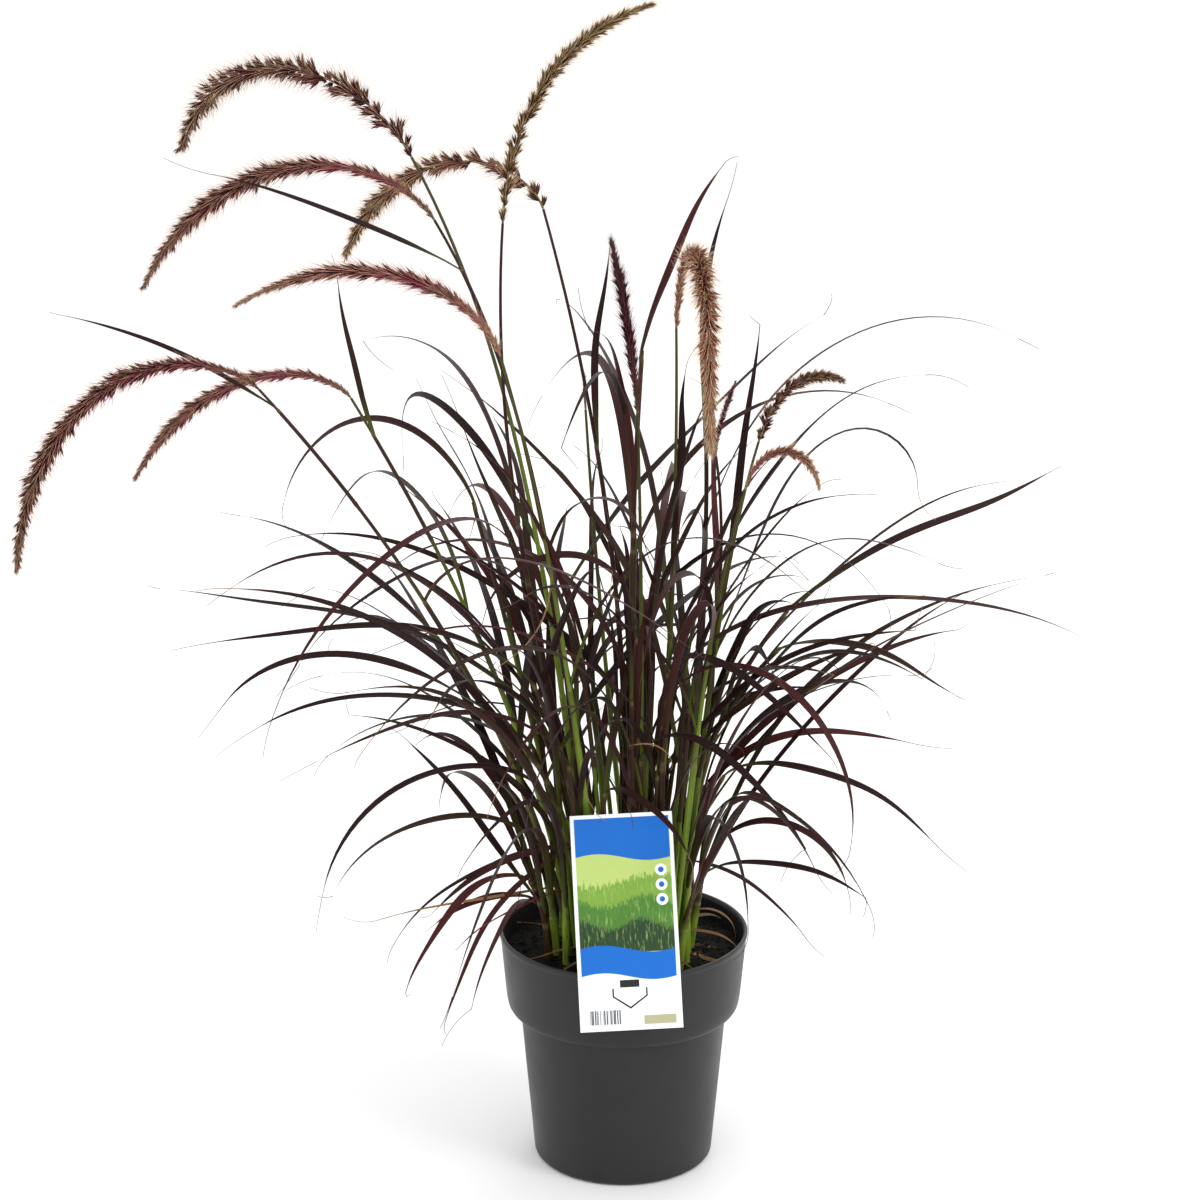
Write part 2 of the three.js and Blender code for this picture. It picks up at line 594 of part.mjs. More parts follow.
// Stems and plumes take their room first, then the shoots' top blades, then the other leaves
occupy(labelBeads(), "label");
const ground = (at) => new THREE.Vector3(at[0], at[1], SOIL.top + 1);

const culms = CULMS.map((form, index) => {
  const name = numbered("culm", index);
  const route = arch(ground(form.at), form);
  const stations = stemStations(route, CULM_RADIUS, CULM_STATIONS);
  occupy(beadsAlong(stations, [0]), name);
  const end = route.points[STEPS].clone().addScaledVector(route.frames[STEPS].along, GAP);
  const plumeForm = { heading: form.heading, lift: form.fall, ...form.plume };
  const plumeRoute = arch(end, plumeForm);
  const thickness = (PLUME.core + PLUME.reach) * form.plume.girth;
  const envelope = { foot: thickness * 0.9, top: thickness * 0.6 };
  occupy(beadsAlong(stemStations(plumeRoute, envelope, STEPS / 4), [0]), numbered("plume", index));
  const { at, heading } = form;
  return { name, kind: "culm", form, route, stations, plumeRoute, at, heading, radius: CULM_RADIUS, blades: [] };
});

const shoots = SHOOTS.map((form, index) => {
  const name = numbered("shoot", index);
  const shoot = { name, kind: "shoot", form, at: form.at, radius: SHOOT_RADIUS };
  const grown = settle(name, (turn) => {
    const heading = form.heading + turn;
    const route = arch(ground(form.at), { heading, lift: form.lift, fall: form.fall, length: form.rise });
    const stations = stemStations(route, SHOOT_RADIUS, SHOOT_STATIONS);
    const roll = Math.cos(rad(heading)) > 0 ? FACE_TURN : -FACE_TURN;
    const top = arch(route.points[STEPS - 2], { heading, lift: form.fall, roll, ...form.blade });
    const topStations = bladeStations(top, TOP_BLADE_WIDTH, TOP_BLADE_SHARES);
    const beads = [...beadsAlong(stations, [0]), ...beadsAlong(topStations, BLADE_ROWS)];
    return { heading, route, stations, beads, blades: [topStations] };
  });
  if (!grown) throw new Error(`${name} finds no room`);
  return { ...shoot, ...grown };
});

for (const culm of culms) {
  for (const leaf of culm.form.leaves ?? []) {
    const grown = growBlade(culm.name, culm.route.points[Math.round(leaf.at * STEPS)], leaf);
    if (grown) culm.blades.push(grown.stations);
  }
}

const draw = lots(SEED);
for (const strand of [...culms, ...shoots]) {
  const { form, route } = strand;
  const bend = form.bend ?? 1.5;
  const liftAt = (share) => form.lift + (form.fall - form.lift) * share ** bend;
  for (let number = 0; number < LEAVES[strand.kind]; number += 1) {
    const leaf = leafByLot(draw, number, strand.kind, strand.heading, liftAt);
    const grown = growBlade(strand.name, route.points[Math.round(leaf.at * STEPS)], leaf);
    if (grown) strand.blades.push(grown.stations);
  }
}

addMesh("pot", potGeometry(), "pot", 0.55);
addMesh("soil", soilGeometry([...culms, ...shoots]), "soil", 0.95);
addMesh("label", labelGeometry(), "label", 0.35);
culms.forEach((culm, index) => {
  addMesh(culm.name, fused([stem(culm), ...culm.blades.map(blade)]), "culm", 0.6);
  addMesh(numbered("plume", index), plume(culm.plumeRoute, culm.form.plume), culm.form.plume.colour, 0.85);
});
for (const shoot of shoots) {
  addMesh(shoot.name, fused([stem(shoot), ...shoot.blades.map(blade)]), "shoot", 0.6);
}

export default plant;
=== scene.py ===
"""Looks of a dwarf purple fountain grass in a nursery pot.

The growth plan grows the stems and blades by the same rules and draws as the plant's solids, so that every
fine piece stands where its solid stands. Routes and sizes are in millimetres, as there. Meshes are in metres,
+Z up and -Y to the front, with the origin in the middle of the pot's base.
"""

from __future__ import annotations

import json
import logging
import math
from collections import defaultdict
from collections.abc import Callable, Sequence
from dataclasses import dataclass, field, replace
from enum import Enum
from functools import reduce
from itertools import product

import bmesh
import bpy
import numpy as np
from bpy.types import Collection, Material, Mesh, Node, NodeSocket, NodeTree, Object
from mathutils import Matrix, Vector, noise

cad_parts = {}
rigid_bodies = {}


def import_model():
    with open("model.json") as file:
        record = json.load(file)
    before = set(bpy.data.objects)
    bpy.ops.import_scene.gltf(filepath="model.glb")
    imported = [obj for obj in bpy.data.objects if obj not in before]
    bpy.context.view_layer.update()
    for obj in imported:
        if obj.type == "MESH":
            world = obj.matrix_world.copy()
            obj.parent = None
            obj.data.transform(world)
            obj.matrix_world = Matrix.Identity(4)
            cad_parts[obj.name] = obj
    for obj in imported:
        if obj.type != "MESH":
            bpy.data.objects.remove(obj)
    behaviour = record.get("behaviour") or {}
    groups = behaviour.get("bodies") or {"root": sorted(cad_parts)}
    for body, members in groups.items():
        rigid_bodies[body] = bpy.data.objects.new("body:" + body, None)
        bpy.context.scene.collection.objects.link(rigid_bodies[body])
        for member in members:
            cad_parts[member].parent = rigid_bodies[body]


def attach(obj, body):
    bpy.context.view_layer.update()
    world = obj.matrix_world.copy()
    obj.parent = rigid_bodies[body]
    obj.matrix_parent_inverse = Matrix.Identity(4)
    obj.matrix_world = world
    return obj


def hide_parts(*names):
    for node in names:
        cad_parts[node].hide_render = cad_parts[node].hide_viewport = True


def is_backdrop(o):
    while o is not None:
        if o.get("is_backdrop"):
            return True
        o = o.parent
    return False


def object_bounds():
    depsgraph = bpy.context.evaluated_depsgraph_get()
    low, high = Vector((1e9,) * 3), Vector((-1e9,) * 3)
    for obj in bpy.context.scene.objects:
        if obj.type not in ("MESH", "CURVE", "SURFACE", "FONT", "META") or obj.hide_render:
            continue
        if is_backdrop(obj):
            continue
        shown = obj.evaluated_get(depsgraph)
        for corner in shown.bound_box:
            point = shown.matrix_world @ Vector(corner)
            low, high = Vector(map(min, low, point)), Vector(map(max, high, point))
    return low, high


log = logging.getLogger("fountain_grass")

MM = 0.001
BODY = "root"

# Values that the solids are grown by too
STEPS = 96
SOIL_TOP = 180.0
POT_HEIGHT = 195.0
RIM_RADIUS = 100.3
GAP = 0.3
ROOM = 0.9
CELL = 12.0
QUERY_REACH = 4.2
BEAD_STEP = 3.4
TRIES = 36
TRY_TURN = 5.0
BLADE_DEPTH = 1.3
TOP_BLADE_WIDTH = 6.8
FACE_TURN = 48.0
TOP_BLADE_SHARES = (0.0, 0.1, 0.28, 0.46, 0.64, 0.82, 1.0)
LEAF_SHARES = (0.0, 0.12, 0.34, 0.57, 0.8, 1.0)
PLUME_REACH = 11.2
LEAF_SPREAD = 11.0
GROWTH_SEED = 49
OVER_RIM = 3.0
BESIDE_RIM = 4.0
CROWN_RADIUS = 82.0
CARD_BEAD = 3.2
CARD_BEAD_STEP = 5.0

# Slope of the view, and half the widths kept free before the card and the pot
VIEW_SLOPE = 0.38
VIEW_CARD_HALF = 50.0
VIEW_POT_HALF = 106.0

Colour = tuple[float, float, float]
Spot = tuple[float, float]
Arch = tuple[float, float, float, float]
Profile = tuple[tuple[float, ...], tuple[float, ...]]
SizeRule = Callable[[np.ndarray], np.ndarray]


class Tint(Enum):
    """The colours of a plume."""

    PURPLE = "purple"
    TAN = "tan"
    STRAW = "straw"
    DUSKY = "dusky"


class Kind(Enum):
    """What a strand's route carries: a keeled blade, a round stem or a hair."""

    BLADE = 0.0
    STEM = 1.0
    HAIR = 2.0


@dataclass(frozen=True)
class StemSizes:
    """Sizes of a stem.

    Attributes:
        foot: Radius at the mix.
        top: Radius at its top.
        leaves: How many leaves are drawn by lot.
        place: Lowest share of the stem that such a leaf leaves at, and the spread.
        stations: Parts of its solid.
    """

    foot: float
    top: float
    leaves: int = 0
    place: Spot = (0.0, 0.0)
    stations: int = 5


CULM = StemSizes(2.6, 1.1, 2, (0.2, 0.45), 7)
SHOOT = StemSizes(2.5, 1.5, 3, (0.28, 0.62), 5)


@dataclass(frozen=True)
class Bow:
    """How a strand bends on its way, with all angles in degrees.

    Attributes:
        heading: Direction that it leans to, from +X.
        lift: Rise above the horizon at its foot.
        fall: Rise above the horizon at its tip.
        length: Length along it.
        bend: How late it bends.
        swing: How far its heading turns.
        roll: How far it turns about itself.
    """

    heading: float
    lift: float
    fall: float
    length: float
    bend: float = 1.5
    swing: float = 0.0
    roll: float = 0.0

    def onward(self, arch: Arch) -> Bow:
        """Returns the bow that carries on from its end by a fall, a bend, a length and a swing."""
        fall, bend, length, swing = arch
        return Bow(self.heading, self.fall, fall, length, bend, swing)


@dataclass(frozen=True)
class LeafForm:
    """A leaf on a stem: the share of the stem that it leaves at, its bow and its width."""

    at: float
    bow: Bow
    width: float


@dataclass(frozen=True)
class CulmForm:
    """A flowering stem and the plume that it carries.

    Attributes:
        at: Where it leaves the mix.
        stem: How the stem bends.
        arch: How the plume carries on from its end.
        girth: Girth that the plume's room is planned for.
        fullness: How full its spikelets stand.
        tint: Colour of the plume.
        blush: How pink the plume's bristles are.
        openness: Near 1 the lowest spikelets stand apart; below 0 it is the share that is still closed.
        spread: How far the spikelets stand off the axis, in degrees.
        leaves: Leaves given one by one.
        turned: Heading and lift of the plume, where they aren't the stem's.
    """

    at: Spot
    stem: Bow
    arch: Arch
    girth: float
    fullness: float
    tint: Tint
    blush: float
    openness: float
    spread: float
    leaves: tuple[LeafForm, ...] = ()
    turned: Spot | None = None

    @property
    def plume(self) -> Bow:
        """Returns the bow of the plume."""
        bow = self.stem.onward(self.arch)
        return replace(bow, heading=self.turned[0], lift=self.turned[1]) if self.turned else bow


@dataclass(frozen=True)
class ShootForm:
    """A leafy shoot: where it leaves the mix, its stem's bow, and how its top blade carries on."""

    at: Spot
    stem: Bow
    arch: Arch


def leaf(at: float, heading: float, lift: float, fall: float, bend: float, length: float,
         width: float) -> LeafForm:
    """Makes a leaf given one by one."""
    return LeafForm(at, Bow(heading, lift, fall, length, bend), width)


CULMS = (
    CulmForm((-24, 22), Bow(168, 83, 61, 650, 2.8), (-69, 1, 275, -33), 0.92, 1.2, Tint.PURPLE,
             0.35, 0.75, 52),
    CulmForm((-24, -8), Bow(185, 85, 60, 610, 2.9), (-64, 0.75, 272, 23), 0.85, 1.12, Tint.PURPLE,
             0.85, -0.3, 36,
             (leaf(0.93, 192, 34, 14, 0.8, 205, 4.5),)),
    CulmForm((-4, 36), Bow(150, 96, 72, 595, 0.9), (-69, 0.6, 228, 12), 0.85, 1.1, Tint.TAN, 0.4, 1.0, 44,
             (leaf(0.68, 150, 86, 104, 1.2, 160, 6),)),
    CulmForm((-8, 2), Bow(180, 76, 94, 596, 2.1), (13, 1.3, 216, 0), 0.9, 0.9, Tint.TAN, 0.0, 1.0, 34,
             (leaf(0.87, 180, 100, 84, 1, 110, 5),), (5, 86)),
    CulmForm((-14, -36), Bow(195, 83, 74, 505, 2.8), (-29, 0.7, 237, 7), 0.75, 1.25, Tint.PURPLE,
             1.0, -0.6, 17),
    CulmForm((-42, -22), Bow(190, 83, 50, 535, 0.7), (-79, 0.67, 285, 60), 0.92, 1.1, Tint.PURPLE,
             0.8, -0.12, 36,
             (leaf(0.96, 168, 32, 6, 0.8, 190, 4),)),
    CulmForm((-44, 10), Bow(172, 89, 59, 480, 0.5), (-63, 0.52, 214, 18), 0.7, 1.05, Tint.PURPLE,
             1.0, -0.3, 26,
             (leaf(0.93, 165, 62, 76, 1, 125, 5),)),
    CulmForm((14, -15), Bow(180, 90, 88, 444, 2.6), (78, 0.5, 139, 0), 0.7, 0.95, Tint.DUSKY,
             0.25, -0.3, 20),
    CulmForm((24, 8), Bow(0, 87, 91, 506, 2.2), (-96, 0.83, 315, -10), 1.05, 1.22, Tint.STRAW,
             0.5, -0.3, 36,
             (leaf(0.97, 90, 88, 78, 1, 120, 4), leaf(0.7, 15, 84, 88, 1, 120, 7)), (-80, 85)),
    CulmForm((40, 26), Bow(20, 81, 99, 400, 3.4), (63, 0.4, 63, 12), 0.5, 0.5, Tint.DUSKY, 0.4, -0.4, 16),
    CulmForm((44, -8), Bow(-10, 84, 74, 427, 4), (-31, 1.7, 97, -4), 0.62, 0.7, Tint.PURPLE, 0.35, 0.8, 40),
    CulmForm((38, -36), Bow(-25, 84, 73, 400, 3.7), (-80, 1.3, 101, -32), 0.6, 0.7, Tint.STRAW,
             0.95, -0.3, 26),
    CulmForm((8, 46), Bow(120, 77, 83, 424, 1.4), (88, 1, 30, 0), 0.35, 0.35, Tint.DUSKY, 0.2, -0.4, 12,
             (leaf(0.97, 150, 94, 78, 1, 100, 5),)),
)

# Place, heading, lift, fall and length of each leafy shoot's stem, and how its top blade carries on
SHOOTS = tuple(ShootForm((x, y), Bow(*stem), arch) for x, y, *stem, arch in (
    (46, 4, -8, 92, 70, 265, (-90, 3.5, 305, -40)),
    (50, 14, 18, 90, 46, 290, (0, 0.5, 300, 30)),
    (34, -24, -12, 94, 88, 215, (-34, 0.5, 395, 30)),
    (52, -16, 5, 92, 92, 150, (16, 0.4, 195, 20)),
    (36, 20, -22, 86, 46, 278, (-34, 0.5, 155, 7)),
    (26, -12, -38, 94, 92, 225, (-36, 0.4, 225, 18)),
    (18, -42, -50, 92, 94, 170, (-59, 0.5, 205, 14)),
    (50, -34, -30, 92, 59, 168, (-42, 0.5, 195, 14)),
    (56, 24, 15, 92, 88, 105, (-18, 0.5, 205, -12)),
    (28, -36, -42, 89, 90, 200, (-105, 0.8, 290, 9)),
    (54, -4, -20, 83, 76, 70, (-75, 1, 165, 0)),
    (44, -50, -42, 84, 63, 85, (-20, 0.5, 160, 16)),
    (-34, 0, 178, 91, 65, 192, (-3, 0.5, 335, -2)),
    (-34, -34, 188, 92, 64, 240, (-19, 0.5, 270, -12)),
    (-36, -12, 205, 90, 38, 240, (-53, 1.7, 235, -30)),
    (-50, 20, 172, 92, 66, 164, (-29, 0.5, 245, 10)),
    (-32, -46, 212, 87, 84, 172, (-25, 0.5, 236, 0)),
    (-46, -38, 222, 90, 82, 120, (-75, 0.8, 280, -30)),
    (-54, -20, 215, 86, 80, 85, (-61, 0.6, 207, 0)),
    (-60, -30, 222, 88, 54, 75, (-71, 0.6, 160, 0)),
    (-56, 0, 200, 84, 40, 45, (-39, 0.6, 90, -16)),
    (-34, 36, 150, 75, 72, 361, (-79, 0.9, 275, -12)),
    (-54, 8, 165, 82, 54, 248, (1, 1.3, 222, -8)),
    (-18, 42, 140, 94, 54, 320, (-92, 2.1, 300, -30)),
    (15, 1, 15, 93, 86, 490, (52, 0.6, 165, 20)),
    (30, 38, 60, 70, 94, 405, (62, 2.2, 205, -10)),
    (22, 26, 40, 76, 72, 283, (86, 0.5, 226, 0)),
    (-20, -46, -50, 92, 80, 150, (-45, 0.35, 115, 0)),
    (6, -30, 190, 90, 92, 270, (-85, 1.2, 190, 0)),
    (12, 32, 80, 82, 62, 260, (-50, 1, 330, 12)),
    (-16, 28, 108, 80, 60, 230, (-40, 1, 350, -14)),
))

class Lots:
    """Repeatable draws between 0 and 1."""

    def __init__(self, seed: int) -> None:
        """Starts the draws at a seed."""
        self.state = seed

    def draw(self) -> float:
        """Returns the next draw."""
        self.state = (self.state * 1664525 + 1013904223) % 2**32
        return self.state / 2**32

    def pick(self, low: float, spread: float) -> float:
        """Returns a draw between low and low + spread."""
        return low + spread * self.draw()


class Route:
    """The way of a strand: points, with unit vectors on along it and across it, one row each."""

    def __init__(self, start: Sequence[float], bow: Bow) -> None:
        """Grows the route from its start.

        Args:
            start: First point.
            bow: How it bends.
        """
        share = (np.arange(STEPS) + 0.5) / STEPS
        rise = np.radians(bow.lift + (bow.fall - bow.lift) * share**bow.bend)
        turn = np.radians(bow.heading + bow.swing * share)
        way = np.column_stack((np.cos(rise) * np.cos(turn), np.cos(rise) * np.sin(turn), np.sin(rise)))
        self.points = np.cumsum(np.vstack((start, way * (bow.length / STEPS))), axis=0)
        ends = np.vstack((self.points[1:], self.points[-1:])) - np.vstack((self.points[:1], self.points[:-1]))
        self.along = unit(ends)
        place = np.arange(STEPS + 1) / STEPS
        turn = np.radians(bow.heading + bow.swing * place)
        across = squared(np.column_stack((-np.sin(turn), np.cos(turn), np.zeros(STEPS + 1))), self.along)
        self.across = turned(across, self.along, np.radians(bow.roll * np.sqrt(place)))
        self.bow = bow

    def sample(self, shares: np.ndarray) -> Section:
        """Takes sections from the route.

        Args:
            shares: Shares of its length, from 0 to 1.

        Returns:
            The sections at these shares.
        """
        exact = np.clip(shares, 0, 1) * STEPS
        low = np.minimum(exact.astype(int), STEPS - 1)
        part = (exact - low)[:, None]
        tracks = (self.points, self.along, self.across)
        rows = [track[low] * (1 - part) + track[low + 1] * part for track in tracks]
        along = unit(rows[1])
        across = squared(rows[2], along)
        return Section(rows[0], along, across, np.cross(along, across))


@dataclass
class Section:
    """Points of a route with their directions, one row each."""

    points: np.ndarray
    along: np.ndarray
    across: np.ndarray
    up: np.ndarray


def unit(rows: np.ndarray) -> np.ndarray:
    """Returns the rows at length 1."""
    return rows / np.linalg.norm(rows, axis=1, keepdims=True)


def squared(rows: np.ndarray, along: np.ndarray) -> np.ndarray:
    """Returns the rows at right angles to unit vectors, at length 1."""
    return unit(rows - along * np.sum(rows * along, axis=1, keepdims=True))


def turned(rows: np.ndarray, axes: np.ndarray, angles: np.ndarray) -> np.ndarray:
    """Returns vectors turned by angles, in radians, about unit axes at right angles to them."""
    cos, sin = np.cos(angles)[:, None], np.sin(angles)[:, None]
    return rows * cos + np.cross(axes, rows) * sin


@dataclass
class Strand:
    """A stem with its blades.

    Attributes:
        name: Name of the solid that it stands for.
        sizes: Sizes of its stem.
        route: Route of the stem.
        blades: Route and width of each blade, with the share of the stem that it leaves at.
        ripeness: How far its stem has darkened already.
    """

    name: str
    sizes: StemSizes
    route: Route
    blades: list[tuple[Route, float, float]] = field(default_factory=list)
    ripeness: float = 0.0


@dataclass
class PlumeRoute:
    """A plume: its number, its form and its route."""

    number: int
    form: CulmForm
    route: Route


@dataclass(frozen=True)
class CardPlace:
    """Where the card hangs, and its sizes.

    Attributes:
        width: Width of the card.
        below: How far it reaches below its slot.
        above: How far it reaches above its slot.
        thickness: Thickness of the card.
        slot: Middle of its slot.
        lean: How far it leans back, in degrees.
        tilt: How far it is turned in its own plane, in degrees.
    """

    width: float = 80.0
    below: float = 36.0
    above: float = 132.0
    thickness: float = 0.8
    slot: tuple[float, float, float] = (4.0, -103.0, 191.0)
    lean: float = 22.0
    tilt: float = 3.0

    def matrix(self) -> Matrix:
        """Puts a flat card at its place.

        Returns:
            The matrix, in millimetres.
        """
        lean = Matrix.Rotation(math.radians(-self.lean), 4, "X")
        tilt = Matrix.Rotation(math.radians(-self.tilt), 4, "Y")
        return Matrix.Translation(self.slot) @ (lean @ tilt)

    def beads(self) -> np.ndarray:
        """Spreads beads over the card, so that the leaves stay off it.

        Returns:
            Rows of x, y, z and radius.
        """
        across = np.arange(-self.width / 2, self.width / 2 + 1, CARD_BEAD_STEP)
        up = np.arange(-self.below, self.above + 1, CARD_BEAD_STEP)
        spots = np.array([(x, 0.0, z) for x in across for z in up])
        place = np.array(self.matrix())
        return np.column_stack((spots @ place[:3, :3].T + place[:3, 3], np.full(len(spots), CARD_BEAD)))


CARD = CardPlace()


def stem_size(foot: float, top: float) -> SizeRule:
    """Returns the rule for a stem's radius at a share of its length."""
    return lambda share: foot + (top - foot) * share


def blade_width(width: float) -> SizeRule:
    """Returns the rule for a blade's width: narrow at its base, and drawn out to a hair."""
    return lambda share: width * np.minimum(1, 0.42 + 3 * share) * (1 - share**2.4) ** 0.8


def string_beads(route: Route, shares: Sequence[float], size_at: SizeRule,
                 rows: Sequence[float] = (0,)) -> np.ndarray:
    """Strings beads along a solid strand, in one row or in rows side by side.

    Args:
        route: Route of the strand.
        shares: Shares of the route at which the solid has a section.
        size_at: Rule that gives its size at a share.
        rows: Where each row lies across, in thirds of the size.

    Returns:
        Rows of x, y, z and radius.
    """
    places = np.array(shares)
    index = np.floor(places * STEPS + 0.5).astype(int)
    stations = np.column_stack((route.points[index], route.across[index], size_at(places)))
    found = []
    for start, end in zip(stations, stations[1:]):
        count = math.ceil(math.dist(start[:3], end[:3]) / BEAD_STEP)
        between = start + (end - start) * (np.arange(count) / count)[:, None]
        centre, across, size = between[:, :3], between[:, 3:6], between[:, 6:]
        radius = size / 6 + BLADE_DEPTH / 2 if len(rows) > 1 else size
        found += [np.hstack((centre + across * (row * size / 3), radius)) for row in rows]
    return np.vstack(found)


def stem_beads(route: Route, sizes: StemSizes) -> np.ndarray:
    """Returns the beads along a stem."""
    shares = np.arange(sizes.stations + 1) / sizes.stations
    return string_beads(route, shares, stem_size(sizes.foot, sizes.top))


class RoomPlan:
    """The room that strands have taken, as beads listed in each cell that they can reach."""

    def __init__(self) -> None:
        """Starts with all room free."""
        self.cells: dict[tuple[int, ...], list[tuple]] = defaultdict(list)

    def occupy(self, beads: np.ndarray, owner: str) -> None:
        """Lists beads as taken room.

        Args:
            beads: Rows of x, y, z and radius.
            owner: Strand that takes the room.
        """
        for *spot, radius in beads.tolist():
            reach = radius + QUERY_REACH
            spans = [range(math.floor((v - reach) / CELL), math.floor((v + reach) / CELL) + 1) for v in spot]
            for key in product(*spans):
                self.cells[key].append((*spot, radius, owner))

    def is_free(self, beads: np.ndarray, owner: str) -> bool:
        """Tells whether beads keep clear of the pot and of all other strands.

        Args:
            beads: Rows of x, y, z and radius.
            owner: Strand that asks.

        Returns:
            True if they do.
        """
        away, height = np.hypot(beads[:, 0], beads[:, 1]), beads[:, 2]
        in_pot = (height < POT_HEIGHT + OVER_RIM) & (away < RIM_RADIUS + BESIDE_RIM)
        over_mix = (height > SOIL_TOP) & (away < CROWN_RADIUS)
        if np.any(in_pot & ~over_mix):
            return False
        for x, y, z, radius in beads.tolist():
            key = (math.floor(x / CELL), math.floor(y / CELL), math.floor(z / CELL))
            for ox, oy, oz, other_radius, other in self.cells.get(key, ()):
                near = radius + other_radius + ROOM
                if other != owner and (x - ox) ** 2 + (y - oy) ** 2 + (z - oz) ** 2 <= near * near:
                    return False
        return True


def hides_front(points: np.ndarray) -> bool:
    """Tells whether points hang down in front of the card or of the pot.

    Args:
        points: Rows that start with x, y and z.

    Returns:
        True if any does.
    """
    x, y, z = points[:, :3].T
    card_x, card_y, card_z = CARD.slot
    lean = math.radians(CARD.lean)
    top_y, top_z = card_y + CARD.above * math.sin(lean), card_z + CARD.above * math.cos(lean)
    before_card = (y < card_y + (z - card_z) * math.tan(lean)) & (z < top_z + VIEW_SLOPE * (top_y - y))
    before_pot = (y < -RIM_RADIUS) & (z < POT_HEIGHT + VIEW_SLOPE * (-RIM_RADIUS - y))
    over_card = before_card & (np.abs(x - card_x) < VIEW_CARD_HALF)
    return bool(np.any(over_card | (before_pot & (np.abs(x) < VIEW_POT_HALF))))


def ground(x: float, y: float) -> Sequence[float]:
    """Returns the point just over the mix at a spot."""
    return x, y, SOIL_TOP + 1.0


class GrowthPlan:
    """Grows the clump: stems and plumes take their room first, then leafy shoots, then the other leaves."""

    ripeness = {Tint.TAN: 0.8}

    def __init__(self) -> None:
        """Grows all strands."""
        self.room = RoomPlan()
        self.room.occupy(CARD.beads(), "label")
        self.plumes: list[PlumeRoute] = []
        self.culms = [self._grow_culm(number, form) for number, form in enumerate(CULMS, 1)]
        self.shoots = [self._grow_shoot(number, form) for number, form in enumerate(SHOOTS, 1)]
        for strand, form in zip(self.culms, CULMS):
            for leaf_form in form.leaves:
                self._grow_leaf(strand, leaf_form)
        self._grow_leaves_by_lot()

    def _settle(self, owner: str, grow: Callable[[float], tuple], keeps_clear: bool) -> object | None:
        """Tries turns to both sides until a strand leaves room to all others.

        Args:
            owner: Name of the strand.
            grow: Gives the strand and its beads at a turn.
            keeps_clear: Whether it stays out of the view onto the card and the pot.

        Returns:
            The strand that found room, or None.
        """
        for attempt in range(TRIES):
            turn = TRY_TURN * math.ceil(attempt / 2) * (1 if attempt % 2 else -1)
            made, beads = grow(turn)
            if self.room.is_free(beads, owner) and not (keeps_clear and hides_front(beads)):
                self.room.occupy(beads, owner)
                return made
        return None

    def _grow_culm(self, number: int, form: CulmForm) -> Strand:
        """Grows a flowering stem and the route of its plume.

        Args:
            number: Its number.
            form: How it grows.

        Returns:
            The flowering stem.
        """
        strand = Strand(f"culm_{number:02d}", CULM, Route(ground(*form.at), form.stem))
        strand.ripeness = self.ripeness.get(form.tint, 0.0)
        self.room.occupy(stem_beads(strand.route, CULM), strand.name)
        plume = Route(strand.route.points[-1] + strand.route.along[-1] * GAP, form.plume)
        girth = PLUME_REACH * form.girth
        shares = np.arange(STEPS // 4 + 1) / (STEPS / 4)
        beads = string_beads(plume, shares, stem_size(0.9 * girth, 0.6 * girth))
        self.room.occupy(beads, f"plume_{number:02d}")
        self.plumes.append(PlumeRoute(number, form, plume))
        return strand

    def _grow_shoot(self, number: int, form: ShootForm) -> Strand:
        """Grows a leafy shoot with its top blade.

        Args:
            number: Its number.
            form: How it grows.

        Returns:
            The shoot.
        """
        name = f"shoot_{number:02d}"

        def grow(turn: float) -> tuple[Strand, np.ndarray]:
            """Grows the shoot at a turn.

            Args:
                turn: The turn, in degrees.

            Returns:
                The shoot and its beads.
            """
            stem = replace(form.stem, heading=form.stem.heading + turn)
            route = Route(ground(*form.at), stem)
            roll = math.copysign(FACE_TURN, math.cos(math.radians(stem.heading)))
            blade = Route(route.points[STEPS - 2], replace(stem.onward(form.arch), roll=roll))
            top = string_beads(blade, TOP_BLADE_SHARES, blade_width(TOP_BLADE_WIDTH), (-1, 0, 1))
            made = Strand(name, SHOOT, route, [(blade, TOP_BLADE_WIDTH, 1.0)])
            return made, np.vstack((stem_beads(route, SHOOT), top))

        made = self._settle(name, grow, keeps_clear=False)
        if made is None:
            raise ValueError(f"{name} finds no room")
        return made

    def _grow_leaf(self, strand: Strand, form: LeafForm) -> None:
        """Grows a leaf on a strand, if it finds room.

        Args:
            strand: What it grows on.
            form: How it grows.
        """
        start = strand.route.points[math.floor(form.at * STEPS + 0.5)]

        def grow(turn: float) -> tuple[Route, np.ndarray]:
            """Returns the leaf's route at a turn, and its beads."""
            route = Route(start, replace(form.bow, heading=form.bow.heading + turn))
            return route, string_beads(route, LEAF_SHARES, blade_width(form.width), (-1, 0, 1))

        made = self._settle(strand.name, grow, keeps_clear=True)
        if made is not None:
            strand.blades.append((made, form.width, form.at))

    def _grow_leaves_by_lot(self) -> None:
        """Draws and grows the leaves further down all stems."""
        lots = Lots(GROWTH_SEED)
        for strand in (*self.culms, *self.shoots):
            bow = strand.route.bow
            for number in range(strand.sizes.leaves):
                at = lots.pick(*strand.sizes.place)
                lift = bow.lift + (bow.fall - bow.lift) * at**bow.bend - LEAF_SPREAD
                way = bow.heading + (90 if number % 2 else -90) + lots.pick(-34, 68)
                fall, bend, length = lots.pick(-62, 82), lots.pick(0.7, 0.9), lots.pick(190, 210)
                width, swing, roll = lots.pick(5, 2.6), lots.pick(-26, 52), lots.pick(-75, 150)
                self._grow_leaf(strand, LeafForm(at, Bow(way, lift, fall, length, bend, swing, roll), width))


